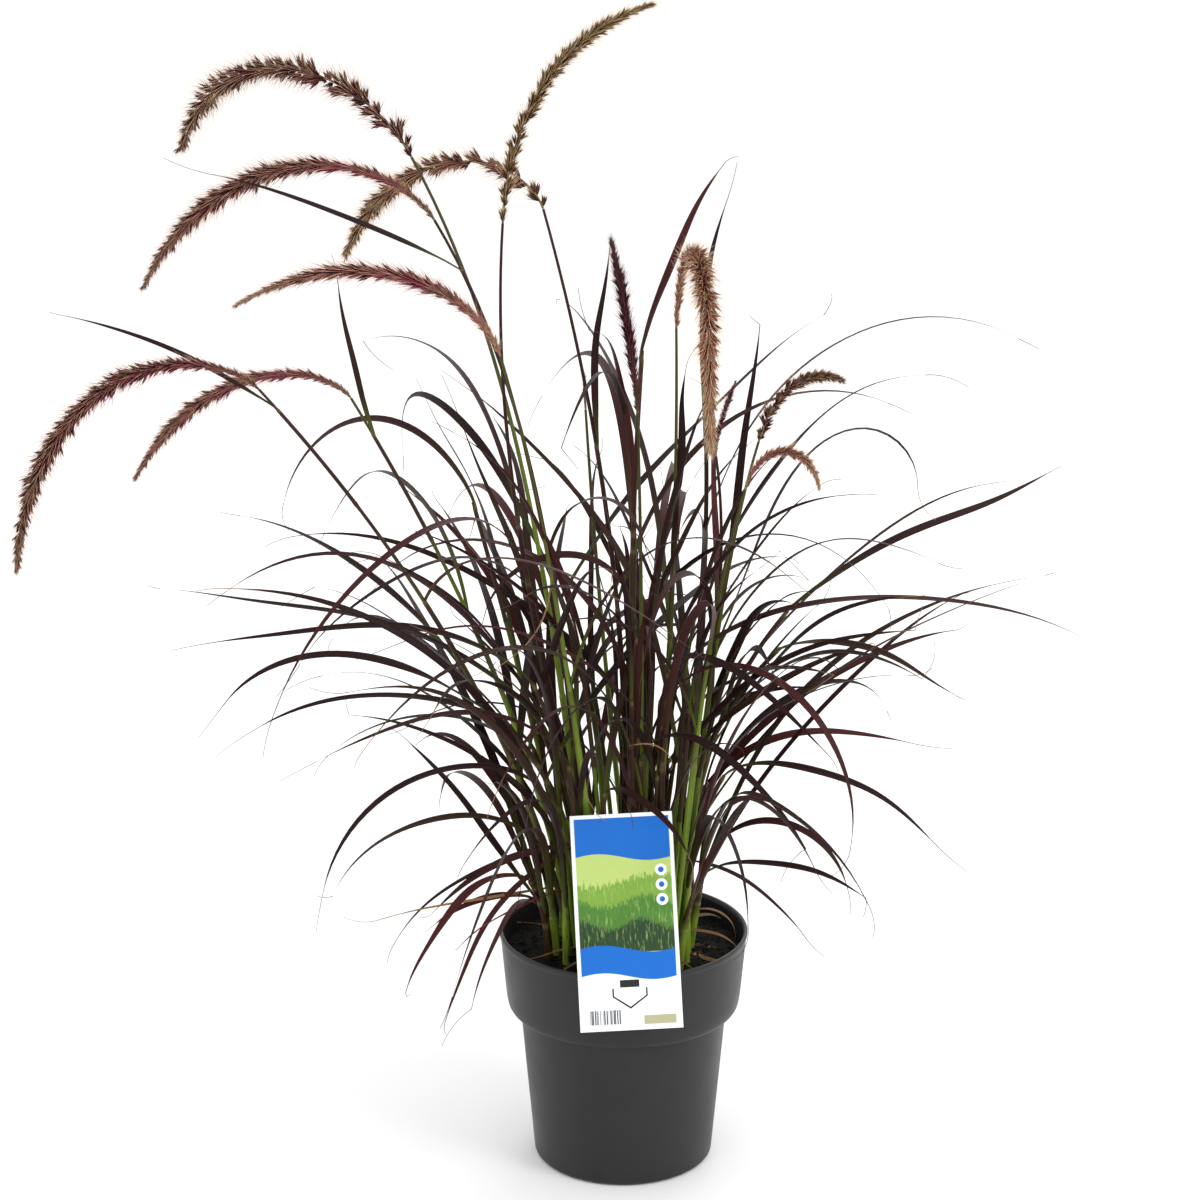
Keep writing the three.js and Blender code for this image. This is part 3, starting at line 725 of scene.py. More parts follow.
class Graph:
    """Adds nodes to a tree and joins them."""

    def __init__(self, tree: NodeTree) -> None:
        """Works on a tree."""
        self.tree = tree

    def node(self, kind: str, inputs: dict[str, object] | None = None, **settings: object) -> Node:
        """Adds a node.

        Args:
            kind: Type of the node.
            inputs: Value or socket for each named input, or a list where several inputs share the name.
            **settings: Properties of the node.

        Returns:
            The new node.
        """
        made = self.tree.nodes.new(kind)
        for name, value in settings.items():
            setattr(made, name, value)
        for name, given in (inputs or {}).items():
            sockets = [s for s in made.inputs if s.name == name and s.enabled]
            for socket, value in zip(sockets, given if isinstance(given, list) else [given]):
                self.feed(socket, value)
        return made

    def result(self, kind: str, inputs: dict[str, object] | None = None, **settings: object) -> NodeSocket:
        """Adds a node and returns its first output that is in use."""
        return next(s for s in self.node(kind, inputs, **settings).outputs if s.enabled)

    def feed(self, socket: NodeSocket, value: object) -> None:
        """Joins a socket to another, or sets its value.

        Args:
            socket: The socket that is fed.
            value: The other socket, or the value.
        """
        if isinstance(value, NodeSocket):
            self.tree.links.new(value, socket)
        else:
            socket.default_value = value

    def math(self, operation: str, *values: object) -> NodeSocket:
        """Returns the result of a Math node."""
        return self.result("ShaderNodeMath", {"Value": list(values)}, operation=operation)

    def times(self, *factors: object) -> NodeSocket:
        """Returns the product of numbers."""
        return reduce(lambda first, second: self.math("MULTIPLY", first, second), factors)

    def plus(self, first: object, second: object) -> NodeSocket:
        """Returns the sum of two numbers."""
        return self.math("ADD", first, second)

    def vector(self, x: object = 0.0, y: object = 0.0, z: object = 0.0) -> NodeSocket:
        """Returns three numbers as a vector."""
        return self.result("ShaderNodeCombineXYZ", {"X": x, "Y": y, "Z": z})

    def parts(self, vector: object) -> Sequence[NodeSocket]:
        """Returns the three numbers of a vector."""
        return self.node("ShaderNodeSeparateXYZ", {"Vector": vector}).outputs

    def ramp(self, value: object, low: object, high: object, start: object = 0.0,
             end: object = 1.0) -> NodeSocket:
        """Eases a value between low and high into the range between start and end.

        Args:
            value: What is mapped.
            low: Value that gives start.
            high: Value that gives end.
            start: First result.
            end: Last result.

        Returns:
            The result's socket.
        """
        inputs = {"Value": value, "From Min": low, "From Max": high, "To Min": start, "To Max": end}
        return self.result("ShaderNodeMapRange", inputs, interpolation_type="SMOOTHSTEP")


class GeometryTree(Graph):
    """A Geometry Nodes tree with named inputs, which ends in Realize Instances and Set Material."""

    def __init__(self, name: str) -> None:
        """Starts a tree with its geometry input and output.

        Args:
            name: Name of the tree.
        """
        super().__init__(bpy.data.node_groups.new(name, "GeometryNodeTree"))
        for way in ("INPUT", "OUTPUT"):
            self.tree.interface.new_socket(name="Geometry", in_out=way, socket_type="NodeSocketGeometry")
        self.entry = self.tree.nodes.new("NodeGroupInput")

    def input(self, name: str, kind: str, default: object = None) -> NodeSocket:
        """Adds a named input.

        Args:
            name: Its name.
            kind: Kind of socket, such as Float or Object.
            default: Its value where none is given.

        Returns:
            The socket that gives it inside the tree.
        """
        made = self.tree.interface.new_socket(name=name, in_out="INPUT", socket_type=f"NodeSocket{kind}")
        if default is not None:
            made.default_value = default
        return next(s for s in self.entry.outputs if s.identifier == made.identifier)

    def attribute(self, name: str, kind: str = "FLOAT") -> NodeSocket:
        """Returns an attribute of the geometry."""
        return self.result("GeometryNodeInputNamedAttribute", {"Name": name}, data_type=kind)

    def place(self) -> Sequence[NodeSocket]:
        """Returns the three coordinates of each element."""
        return self.parts(self.result("GeometryNodeInputPosition"))

    def store(self, geometry: NodeSocket, name: str, value: object, domain: str = "POINT") -> NodeSocket:
        """Stores a number on the points of a geometry, or on its instances, and returns the geometry."""
        inputs = {"Geometry": geometry, "Name": name, "Value": value}
        return self.result("GeometryNodeStoreNamedAttribute", inputs, data_type="FLOAT", domain=domain)

    def random(self, seed: object, shift: float = 0.0, low: float = 0.0, high: float = 1.0) -> NodeSocket:
        """Returns a random number between low and high for each element, by a seed that may be shifted."""
        inputs = {"Min": low, "Max": high, "Seed": self.plus(seed, shift) if shift else seed}
        return self.result("FunctionNodeRandomValue", inputs, data_type="FLOAT")

    def scattered(self, points: NodeSocket, size: NodeSocket, seed: NodeSocket, shift: float,
                  **inputs: object) -> NodeSocket:
        """Sets instances on points and gives each a tone by lot.

        Args:
            points: The points.
            size: Size of each instance.
            seed: Seed of the tones.
            shift: What is added to the seed.
            **inputs: The other inputs of the node, whose names have underscores for spaces.

        Returns:
            The instances.
        """
        given = {name.replace("_", " "): value for name, value in inputs.items()}
        scale = self.vector(size, size, size)
        placed = self.result("GeometryNodeInstanceOnPoints", {"Points": points, "Scale": scale, **given})
        return self.store(placed, "tone", self.random(seed, shift), "INSTANCE")

    def curve(self, lines: NodeSocket) -> NodeSocket:
        """Returns lines as a curve whose sections lie the way that the lines' attribute says."""
        inputs = {"Curve": self.result("GeometryNodeMeshToCurve", {"Mesh": lines}),
                  "Normal": self.attribute("across", "FLOAT_VECTOR")}
        return self.result("GeometryNodeSetCurveNormal", inputs, mode="FREE")

    def ring(self, sides: object) -> NodeSocket:
        """Returns a circle of radius 1."""
        inputs = {"Resolution": sides, "Radius": 1.0}
        return self.result("GeometryNodeCurvePrimitiveCircle", inputs, mode="RADIUS")

    def sweep(self, curve: NodeSocket, profile: NodeSocket, size: str) -> NodeSocket:
        """Sweeps a profile along a curve, shaded smooth.

        Args:
            curve: The curve.
            profile: The profile.
            size: Attribute that gives the profile's size.

        Returns:
            The swept mesh.
        """
        inputs = {"Curve": curve, "Profile Curve": profile, "Scale": self.attribute(size), "Fill Caps": True}
        swept = self.result("GeometryNodeCurveToMesh", inputs)
        return self.result("GeometryNodeSetShadeSmooth", {"Geometry": swept})

    def finish(self, *parts: tuple[NodeSocket, NodeSocket]) -> None:
        """Makes each part's instances real, gives it its material and ends the tree.

        Args:
            *parts: Geometry and material of each part.
        """
        joined = self.tree.nodes.new("GeometryNodeJoinGeometry")
        for geometry, material in parts:
            shaped = self.result("GeometryNodeRealizeInstances", {"Geometry": geometry})
            dressed = self.result("GeometryNodeSetMaterial", {"Geometry": shaped, "Material": material})
            self.tree.links.new(dressed, joined.inputs[0])
        leave = self.tree.nodes.new("NodeGroupOutput")
        self.tree.links.new(joined.outputs[0], leave.inputs[0])

    def run(self, mesh: Mesh, name: str, values: dict[str, object]) -> Object:
        """Runs the tree on a mesh and makes the result a plain piece.

        Args:
            mesh: What the tree starts from.
            name: Name of the piece.
            values: Value of each named input that isn't left at its default.

        Returns:
            The piece, with no modifier.
        """
        source = linked(f"{name}_source", mesh)
        modifier = source.modifiers.new(self.tree.name, "NODES")
        modifier.node_group = self.tree
        for item in self.tree.interface.items_tree:
            if item.item_type == "SOCKET" and item.in_out == "INPUT" and item.name in values:
                modifier[item.identifier] = values[item.name]
        made = applied(source, name)
        bpy.data.meshes.remove(mesh)
        return made


def linked(name: str, data: object) -> Object:
    """Puts a new object into the scene.

    Args:
        name: Its name.
        data: Its mesh, light or camera.

    Returns:
        The object.
    """
    made = bpy.data.objects.new(name, data)
    bpy.context.scene.collection.objects.link(made)
    return made


def applied(source: Object, name: str) -> Object:
    """Makes what an object's modifiers give a plain object, and removes the old one with its modifiers.

    Args:
        source: The object with modifiers.
        name: Name of the plain object.

    Returns:
        The plain object.
    """
    graph = bpy.context.evaluated_depsgraph_get()
    shown = source.evaluated_get(graph)
    mesh = bpy.data.meshes.new_from_object(shown, preserve_all_data_layers=True, depsgraph=graph)
    source.modifiers.clear()
    bpy.data.objects.remove(source)
    mesh.name = name
    return linked(name, mesh)


def carved(body: Object, cutter: Object, name: str) -> Object:
    """Cuts a form out of an object, and removes both.

    Args:
        body: What is cut.
        cutter: The form that is cut out.
        name: Name of what is left.

    Returns:
        What is left.
    """
    cut = body.modifiers.new(name, "BOOLEAN")
    cut.object, cut.solver = cutter, "EXACT"
    made = applied(body, name)
    bpy.data.objects.remove(cutter)
    return made


def joined(first: Object, second: Object, name: str) -> Object:
    """Joins two objects to one.

    Args:
        first: The object that stays.
        second: The object that is added.
        name: New name of the first.

    Returns:
        The first object.
    """
    with bpy.context.temp_override(active_object=first, selected_editable_objects=[first, second]):
        bpy.ops.object.join()
    first.name = name
    return first


def place_piece(piece: Object, slot: str, *nodes: str) -> None:
    """Lets a piece ride on the plant's body and stand for its solids.

    Args:
        piece: The finished piece.
        slot: The record's material slot; not used.
        *nodes: Names of the solids that it stands for.
    """
    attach(piece, BODY)
    if nodes:
        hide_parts(*nodes)
    log.info("%s: %d faces, for %s", piece.name, len(piece.data.polygons), ", ".join(nodes) or "no solid")


class Spines:
    """Collects the lines that a tree sweeps its sections along."""

    def __init__(self) -> None:
        """Starts with no line."""
        self.points: list[np.ndarray] = []
        self.values: dict[str, list[np.ndarray]] = defaultdict(list)
        self.edges: list[tuple[int, int]] = []
        self.count = 0

    def add(self, points: np.ndarray, **values: object) -> None:
        """Adds a line.

        Args:
            points: Its points, in millimetres.
            **values: Attributes, one number or vector for all points or one for each.
        """
        size = len(points)
        self.points.append(points * MM)
        for name, value in values.items():
            rows = np.asarray(value, float)
            self.values[name].append(rows if rows.ndim else np.full(size, float(rows)))
        self.edges += [(self.count + i, self.count + i + 1) for i in range(size - 1)]
        self.count += size

    def mesh(self, name: str) -> Mesh:
        """Makes the lines a mesh of edges with their attributes.

        Args:
            name: Name of the mesh.

        Returns:
            The mesh.
        """
        made = bpy.data.meshes.new(name)
        made.from_pydata(np.vstack(self.points).tolist(), self.edges, [])
        for key, rows in self.values.items():
            flat = np.concatenate(rows)
            kind, member = ("FLOAT_VECTOR", "vector") if flat.ndim == 2 else ("FLOAT", "value")
            made.attributes.new(key, kind, "POINT").data.foreach_set(member, flat.astype(np.float32).ravel())
        return made


class SurfaceGraph(Graph):
    """The node tree of a material around one Principled shader."""

    def __init__(self, name: str) -> None:
        """Starts a material.

        Args:
            name: Its name.
        """
        self.material = bpy.data.materials.new(name)
        self.material.use_nodes = True
        super().__init__(self.material.node_tree)
        self.shader = self.tree.nodes["Principled BSDF"]

    def attributes(self, *names: str) -> list[NodeSocket]:
        """Returns numbers that the mesh carries."""
        return [self.node("ShaderNodeAttribute", attribute_name=name).outputs["Fac"] for name in names]

    def noise(self, vector: object, scale: float, detail: float = 3.0, roughness: float = 0.6) -> NodeSocket:
        """Returns the value of a noise texture."""
        inputs = {"Vector": vector, "Scale": scale, "Detail": detail, "Roughness": roughness}
        return self.node("ShaderNodeTexNoise", inputs).outputs["Fac"]

    def streaks(self, values: Sequence[object], stretch: Sequence[float], scale: float = 1.0,
                detail: float = 1.0) -> NodeSocket:
        """Returns a noise that runs over numbers, each of them stretched.

        Args:
            values: The numbers, up to three.
            stretch: How often the noise changes with each.
            scale: Scale of the noise.
            detail: Its detail.

        Returns:
            The value of the noise.
        """
        return self.noise(self.vector(*map(self.times, values, stretch)), scale, detail)

    def position(self) -> NodeSocket:
        """Returns the object's own coordinates."""
        return self.node("ShaderNodeTexCoord").outputs["Object"]

    def coats(self, colour: object, *coats: tuple[object, object]) -> NodeSocket:
        """Lays colours over a colour, one after the other.

        Args:
            colour: The lowest colour.
            *coats: Share and colour of each coat.

        Returns:
            The colour of all together.
        """
        for share, over in coats:
            inputs = {"Factor": share, "A": rgba(colour), "B": rgba(over)}
            colour = self.result("ShaderNodeMix", inputs, data_type="RGBA")
        return colour

    def bump(self, height: object, strength: float, distance: float) -> None:
        """Gives the surface a relief."""
        inputs = {"Strength": strength, "Distance": distance, "Height": height}
        self.feed(self.shader.inputs["Normal"], self.result("ShaderNodeBump", inputs))

    def surface(self, colour: object, rough: object, shine: float = 0.5) -> Material:
        """Sets the shader's inputs.

        Args:
            colour: Base colour.
            rough: Roughness.
            shine: Specular level.

        Returns:
            The finished material.
        """
        inputs = {"Base Color": rgba(colour), "Roughness": rough, "Specular IOR Level": shine}
        for name, value in inputs.items():
            self.feed(self.shader.inputs[name], value)
        return self.material


def rgba(value: object) -> object:
    """Returns a colour of three numbers with its alpha, and anything else as it is."""
    return (*value, 1.0) if isinstance(value, tuple) else value


def srgb(*values: int) -> Colour:
    """Returns a colour given in screen values as linear light."""
    shares = [value / 255 for value in values]
    return tuple(share / 12.92 if share <= 0.04045 else ((share + 0.055) / 1.055) ** 2.4 for share in shares)


@dataclass(frozen=True)
class BladeFinish:
    """Dark purple blade, maroon or olive by its tone, with a green base, a pale midrib and a dry tip."""

    dark: Colour = srgb(27, 13, 14)
    maroon: Colour = srgb(66, 24, 24)
    olive: Colour = srgb(46, 30, 18)
    base: Colour = srgb(80, 92, 30)
    dry: Colour = srgb(132, 104, 72)
    roughness: Spot = (0.34, 0.54)

    def material(self) -> Material:
        """Builds the finish.

        Returns:
            The material.
        """
        made = SurfaceGraph("leaf_blade")
        tone, along, side = made.attributes("tone", "along", "side")
        grain = made.streaks((side, along, tone), (5.0, 4.0, 90.0), 3.0, 3.0)
        some_dry = made.ramp(made.math("FRACT", made.times(tone, 7.0)), 0.5, 0.8)
        face = made.coats(
            self.dark,
            (made.ramp(tone, 0.45, 0.95), self.maroon),
            (made.ramp(tone, 0.34, 0.12), self.olive),
            (made.ramp(grain, 0.35, 0.75, 0.0, 0.35), self.maroon),
            (made.ramp(made.math("ABSOLUTE", side), 0.16, 0.02, 0.0, 0.45), self.olive),
            (made.times(made.ramp(along, 0.3, 0.0), made.ramp(tone, 0.75, 0.1, 0.15, 0.9)), self.base),
            (made.times(made.ramp(along, 0.9, 0.99), some_dry), self.dry),
        )
        made.bump(made.streaks((side, along), (16.0, 1.5)), 0.35, 0.0004)
        return made.surface(face, made.ramp(grain, 0.2, 0.8, *self.roughness), 0.13)


@dataclass(frozen=True)
class DryFinish:
    """Dead leaf, tan with a grey and a brown side, or red where it is dying."""

    tan: Colour = srgb(150, 116, 78)
    grey: Colour = srgb(110, 98, 84)
    brown: Colour = srgb(76, 52, 36)
    red: Colour = srgb(108, 22, 34)

    def material(self) -> Material:
        """Builds the finish.

        Returns:
            The material.
        """
        made = SurfaceGraph("dry_leaf")
        tone, along, side = made.attributes("tone", "along", "side")
        grain = made.streaks((side, along, tone), (6.0, 3.0, 1.0), 2.0, 3.0)
        face = made.coats(
            self.tan,
            (made.ramp(tone, 0.3, 0.8), self.grey),
            (made.ramp(grain, 0.4, 0.7, 0.0, 0.8), self.brown),
            (made.ramp(tone, 0.88, 0.92), self.red),
        )
        return made.surface(face, 0.7, 0.2)


@dataclass(frozen=True)
class StemFinish:
    """Sheathed stem, green with olive and purple streaks, darker further up, with pale sheath edges."""

    green: Colour = srgb(116, 140, 44)
    olive: Colour = srgb(82, 78, 30)
    purple: Colour = srgb(48, 20, 17)
    pale: Colour = srgb(132, 118, 70)

    def material(self) -> Material:
        """Builds the finish.

        Returns:
            The material.
        """
        made = SurfaceGraph("sheathed_stem")
        tone, along, side, sheath, collar = made.attributes("tone", "along", "side", "sheath", "collar")
        streak = made.streaks((side, along, tone), (3.0, 5.0, 70.0), 2.2, 4.0)
        flush = made.plus(made.times(streak, 0.9), made.times(tone, 0.5))
        face = made.coats(
            self.green,
            (made.ramp(tone, 0.6, 1.0), self.olive),
            (made.ramp(flush, 0.7, 1.0), self.purple),
            (made.ramp(along, 0.35, 0.8, 0.0, 0.85), self.purple),
            (made.times(sheath, made.ramp(along, 0.25, 0.6, 0.0, 0.8)), self.purple),
            (made.times(collar, 0.3), self.pale),
        )
        made.bump(made.streaks((side, along), (14.0, 2.0)), 0.3, 0.0003)
        return made.surface(face, 0.4, 0.18)


@dataclass(frozen=True)
class PlumeFinish:
    """Spikelets with bristles: dark at the axis, from their own dark scales and from painted shade there, and
    pale at the bristles' tips.

    Attributes:
        name: Name of the material.
        slot: The record's material slot of such a plume.
        scale: Colour of the spikelets' scales, strongest at their foot by the axis, where it also stands in
            as painted shade.
        husk: Colour of their points.
        bristle: Colour of the bristles.
        tip: Colour of the bristles' tips.
        pink: Colour that blushed bristles turn to, laid on most where they face down, as painted shade on the
            plume's underside.
        wine: Colour that blushed scales turn to.
        straw: Colour of scales that are still in bud.
    """

    name: str
    slot: str
    scale: Colour
    husk: Colour
    bristle: Colour
    tip: Colour
    pink: Colour = srgb(178, 80, 106)
    wine: Colour = srgb(68, 20, 32)
    straw: Colour = srgb(170, 146, 108)

    def material(self) -> Material:
        """Builds the finish.

        Returns:
            The material.
        """
        made = SurfaceGraph(self.name)
        names = ("tone", "reach", "bristle", "blush", "young", "under")
        tone, reach, bristle, blush, young, under = made.attributes(*names)
        flush = made.times(blush, made.ramp(tone, 0.0, 0.8, 0.35, 1.0))
        # Painted shade: each spikelet stays at the dark scale colour near its foot by the axis, and turns to
        # the husk colour only towards its point.
        body = made.coats(
            self.scale,
            (made.ramp(reach, 0.6, 1.0, 0.0, 0.8), self.husk),
            (made.ramp(tone, 0.5, 1.0, 0.0, 0.4), self.husk),
            (made.times(flush, 0.75), self.wine),
            (young, self.straw),
        )
        # Painted shade: the pink is laid on most where a spikelet faces down and less where it faces up, so
        # the plume's underside reads pinker than its top.
        below, inner = made.ramp(under, 0.1, 0.6, 0.45, 1.0), made.ramp(reach, 1.0, 0.65, 0.45, 1.0)
        pink = made.times(flush, below, inner)
        hair = made.coats(self.bristle, (made.ramp(reach, 0.3, 0.8), self.tip), (pink, self.pink))
        return made.surface(made.coats(body, (bristle, hair)), 0.75, 0.1)


PLUME_FINISHES = {
    Tint.PURPLE: PlumeFinish("plume_purple", "plume", srgb(24, 9, 9), srgb(76, 38, 29), srgb(96, 54, 43),
                             srgb(236, 206, 164)),
    Tint.TAN: PlumeFinish("plume_tan", "plume_tan", srgb(42, 24, 15), srgb(112, 76, 48), srgb(120, 86, 56),
                          srgb(244, 216, 168)),
    Tint.STRAW: PlumeFinish("plume_straw", "plume_tan", srgb(84, 42, 34), srgb(158, 108, 82),
                            srgb(172, 126, 94), srgb(252, 236, 192), pink=srgb(206, 132, 134),
                            wine=srgb(112, 52, 54)),
    Tint.DUSKY: PlumeFinish("plume_dusky", "plume_dusky", srgb(16, 6, 8), srgb(36, 17, 19), srgb(50, 24, 27),
                            srgb(122, 82, 82)),
}


@dataclass(frozen=True)
class AxisFinish:
    """Green axis with tan patches that a plume's spikelets stand on."""

    green: Colour = srgb(104, 106, 50)
    tan: Colour = srgb(104, 76, 54)

    def material(self) -> Material:
        """Builds the finish.

        Returns:
            The material.
        """
        made = SurfaceGraph("plume_axis")
        patch = made.ramp(made.noise(made.position(), 60.0), 0.4, 0.65)
        return made.surface(made.coats(self.green, (patch, self.tan)), 0.5)


@dataclass(frozen=True)
class PotFinish:
    """Moulded dark grey plastic with a fine grain and a few scuffs."""

    grey: Colour = srgb(31, 31, 33)
    worn: Colour = srgb(58, 59, 61)
    roughness: Spot = (0.37, 0.48)

    def material(self) -> Material:
        """Builds the finish.

        Returns:
            The material.
        """
        made = SurfaceGraph("pot_plastic")
        place = made.position()
        cloud = made.noise(place, 14.0, 4.0)
        scuff = made.ramp(made.noise(place, 90.0, 6.0, 0.75), 0.62, 0.8, 0.0, 0.35)
        face = made.coats(self.grey, (made.ramp(cloud, 0.3, 0.7, 0.0, 0.12), self.worn), (scuff, self.worn))
        made.bump(made.noise(place, 900.0, 2.0), 0.12, 0.0004)
        return made.surface(face, made.ramp(cloud, 0.3, 0.7, *self.roughness), 0.3)


@dataclass(frozen=True)
class MixFinish:
    """Bark potting mix: near-black crumbs, browner chips and a few pale specks."""

    black: Colour = srgb(9, 8, 7)
    brown: Colour = srgb(27, 21, 16)
    bark: Colour = srgb(74, 56, 38)
    speck: Colour = srgb(150, 132, 92)

    def material(self) -> Material:
        """Builds the finish.

        Returns:
            The material.
        """
        made = SurfaceGraph("bark_mix")
        (tone,), place = made.attributes("tone"), made.position()
        face = made.coats(
            self.black,
            (made.ramp(made.noise(place, 240.0, 5.0, 0.7), 0.42, 0.72), self.brown),
            (made.ramp(tone, 0.55, 0.85, 0.0, 0.8), self.brown),
            (made.ramp(tone, 0.9, 0.93), self.bark),
            (made.ramp(tone, 0.985, 0.99), self.speck),
        )
        made.bump(made.noise(place, 700.0, 4.0), 0.5, 0.001)
        return made.surface(face, 0.9, 0.15)


class StrandTree(GeometryTree):
    """Sweeps a keeled blade, a round stem or a hair along each line."""

    def __init__(self) -> None:
        """Builds the tree."""
        super().__init__("sweep_strands")
        blade_material = self.input("Blade material", "Material")
        stem_material = self.input("Stem material", "Material")
        sides = self.input("Stem sides", "Int", 10)
        thickness = self.input("Blade thickness share", "Float", 0.1)
        base_fold = self.input("Fold at base", "Float", 0.95)
        open_fold = self.input("Fold when open", "Float", 0.3)
        fold_share = self.input("Share folded", "Float", 0.16)
        rounds, blade_lines = self._split(self.entry.outputs[0], Kind.BLADE, Kind.STEM)
        hair_lines, stem_lines = self._split(rounds, Kind.STEM, Kind.HAIR)
        hairs = self._sweep_flat(hair_lines, 3, 1.0)
        stems = self._sweep_flat(stem_lines, sides, 1.0)
        blades = self._sweep_flat(blade_lines, 8, thickness)
        fold = self.ramp(self.attribute("along"), 0.0, fold_share, base_fold, open_fold)
        height = self.times(self.math("ABSOLUTE", self.attribute("side")), self.attribute("size"), fold)
        lifted = self.result("ShaderNodeVectorMath", {
            "Vector": self.attribute("upward", "FLOAT_VECTOR"), "Scale": height,
        }, operation="SCALE")
        keeled = self.result("GeometryNodeSetPosition", {"Geometry": blades, "Offset": lifted})
        self.finish((keeled, blade_material), (stems, stem_material), (hairs, blade_material))

    def _split(self, lines: NodeSocket, low: Kind, high: Kind) -> Sequence[NodeSocket]:
        """Returns the lines from the higher kind on, and those up to the lower kind."""
        above = self.math("GREATER_THAN", self.attribute("kind"), (low.value + high.value) / 2)
        return self.node("GeometryNodeSeparateGeometry", {"Geometry": lines, "Selection": above}).outputs

    def _sweep_flat(self, lines: NodeSocket, sides: object, flat: object) -> NodeSocket:
        """Sweeps a round or flattened section along lines.

        Args:
            lines: Mesh of edges.
            sides: Corners of the section.
            flat: Height of the section against its width.

        Returns:
            The swept mesh.
        """
        profile = self.store(self.ring(sides), "side", self.place()[0])
        scale = self.vector(1.0, flat, 1.0)
        profile = self.result("GeometryNodeTransform", {"Geometry": profile, "Scale": scale})
        return self.sweep(self.curve(lines), profile, "size")


@dataclass
class StrandMaker:
    """Makes the fine stems and blades of the clump's strands.

    Attributes:
        tree: Sweeps the sections.
        blade_material: Finish of the blades.
        stem_material: Finish of the stems.
        lots: Draws of tones and twists.
        room: Lowest and highest corner of the room that the hairs stay in.
        blade_stations: Sections of a blade.
        stem_stations: Sections of a stem, apart from those at its sheaths.
        slimness: Girth of a stem between its sheaths, against that of its solid.
        last_leaf: Share of a stem that its top blade's sheath ends at.
        sheath_length: Length of the sheath below a leaf.
        sheath_swell: How far a sheath stands proud of its stem at its foot, and how much more at its top.
        sheath_ends: Length of the sections under and over a sheath's top.
        collar_reach: How far the pale collar of a sheath reaches.
        node_swell: How far a node stands proud of its stem.
        node_half: Half the height of a node.
        root_depth: How far a stem reaches into the mix.
        half_profile: Half a blade's width at its foot and how much it gains, for a blade of width 1.
        widest: Share of a blade at which it is widest.
        sway: How far a blade strays from its route, for a blade of length 1.
        hair_radii: Radius of the hair that a blade ends in, at its foot and at its tip.
        hair_lengths: Shortest length of that hair, and the spread.
        hair_steps: Steps of that hair.
        kinked: Share of the hairs that are kinked where they start.
        facing: How far a flat leaf is turned to show its face, in radians.
        kinship: How much of a blade's tone is that of its stem.
    """

    tree: StrandTree
    blade_material: Material
    stem_material: Material
    lots: Lots
    room: np.ndarray
    blade_stations: int = 34
    stem_stations: int = 36
    slimness: float = 0.98
    last_leaf: float = 0.985
    sheath_length: float = 95.0
    sheath_swell: Spot = (0.187, 0.153)
    sheath_ends: Spot = (3.0, 1.2)
    collar_reach: float = 3.5
    node_swell: float = 0.3
    node_half: float = 2.4
    root_depth: float = 12.0
    half_profile: Spot = (0.45, 0.62)
    widest: float = 0.45
    sway: float = 0.014
    hair_radii: Spot = (0.34, 0.2)
    hair_lengths: Spot = (10.0, 30.0)
    hair_steps: int = 9
    kinked: float = 0.2
    facing: float = 1.0
    kinship: float = 0.35

    def make(self, strand: Strand, name: str) -> Object:
        """Makes the piece for a strand.

        Args:
            strand: The grown strand.
            name: Name of the piece.

        Returns:
            The piece.
        """
        spines = Spines()
        self.add_strand(spines, strand)
        return self.sweep(spines, name)

    def sweep(self, spines: Spines, name: str) -> Object:
        """Makes a piece from its lines."""
        values = {"Blade material": self.blade_material, "Stem material": self.stem_material}
        return self.tree.run(spines.mesh(f"{name}_lines"), name, values)

    def add_strand(self, spines: Spines, strand: Strand) -> None:
        """Adds a stem and its blades to the lines.

        Args:
            spines: Lines of the piece.
            strand: The grown strand.
        """
        tone = self.lots.draw()
        self._add_stem(spines, strand, tone + strand.ripeness)
        for route, width, _ in strand.blades:
            own = self.lots.draw()
            self.add_blade(spines, route, width, self.kinship * tone + (1 - self.kinship) * own)

    def add_leaves(self, spines: Spines, leaves: Sequence[tuple[Sequence[float], Bow, float, float]]) -> None:
        """Adds loose leaves, each given by its start, bow, width and tone."""
        for start, bow, width, tone in leaves:
            self.add_blade(spines, Route(start, bow), width, tone)

    def _add_stem(self, spines: Spines, strand: Strand, tone: float) -> None:
        """Adds the stem with its nodes and sheaths.

        Args:
            spines: Lines of the piece.
            strand: The grown strand.
            tone: Tone of the stem.
        """
        length, sizes = strand.route.bow.length, strand.sizes
        collars = sorted({min(at, self.last_leaf) for _, _, at in strand.blades})
        shares = list(np.linspace(0, 1, self.stem_stations))
        for at in collars:
            node = max(at - self.sheath_length / length, 0.0)
            shares += [at - self.sheath_ends[0] / length, at, at + self.sheath_ends[1] / length]
            shares += [node + step * self.node_half / length for step in (-1, -0.4, 0.4, 1)]
        places = np.unique(np.clip(shares, 0, 1).round(5))
        girth = self.slimness * (sizes.foot + (sizes.top - sizes.foot) * places)
        collar, sheath = np.zeros(len(places)), np.zeros(len(places))
        for at in collars:
            node = at - self.sheath_length / length
            inside = (places >= node) & (places <= at)
            sheath[inside] = 1.0
            foot, gain = self.sheath_swell
            girth[inside] += foot + gain * (places[inside] - node) / (at - node)
            if node > 0:
                girth += self.node_swell * np.exp(-(((places - node) * length / self.node_half) ** 2))
            collar = np.maximum(collar, np.clip(1 - np.abs(places - at) * length / self.collar_reach, 0, 1))
        cut = strand.route.sample(places)
        points = np.vstack((cut.points[0] - cut.along[0] * self.root_depth, cut.points))
        rows = np.append(0, np.arange(len(places)))
        spines.add(points, across=cut.across[rows], upward=cut.up[rows], size=girth[rows] * MM,
                   along=places[rows], collar=collar[rows], sheath=sheath[rows], tone=tone,
                   kind=Kind.STEM.value)

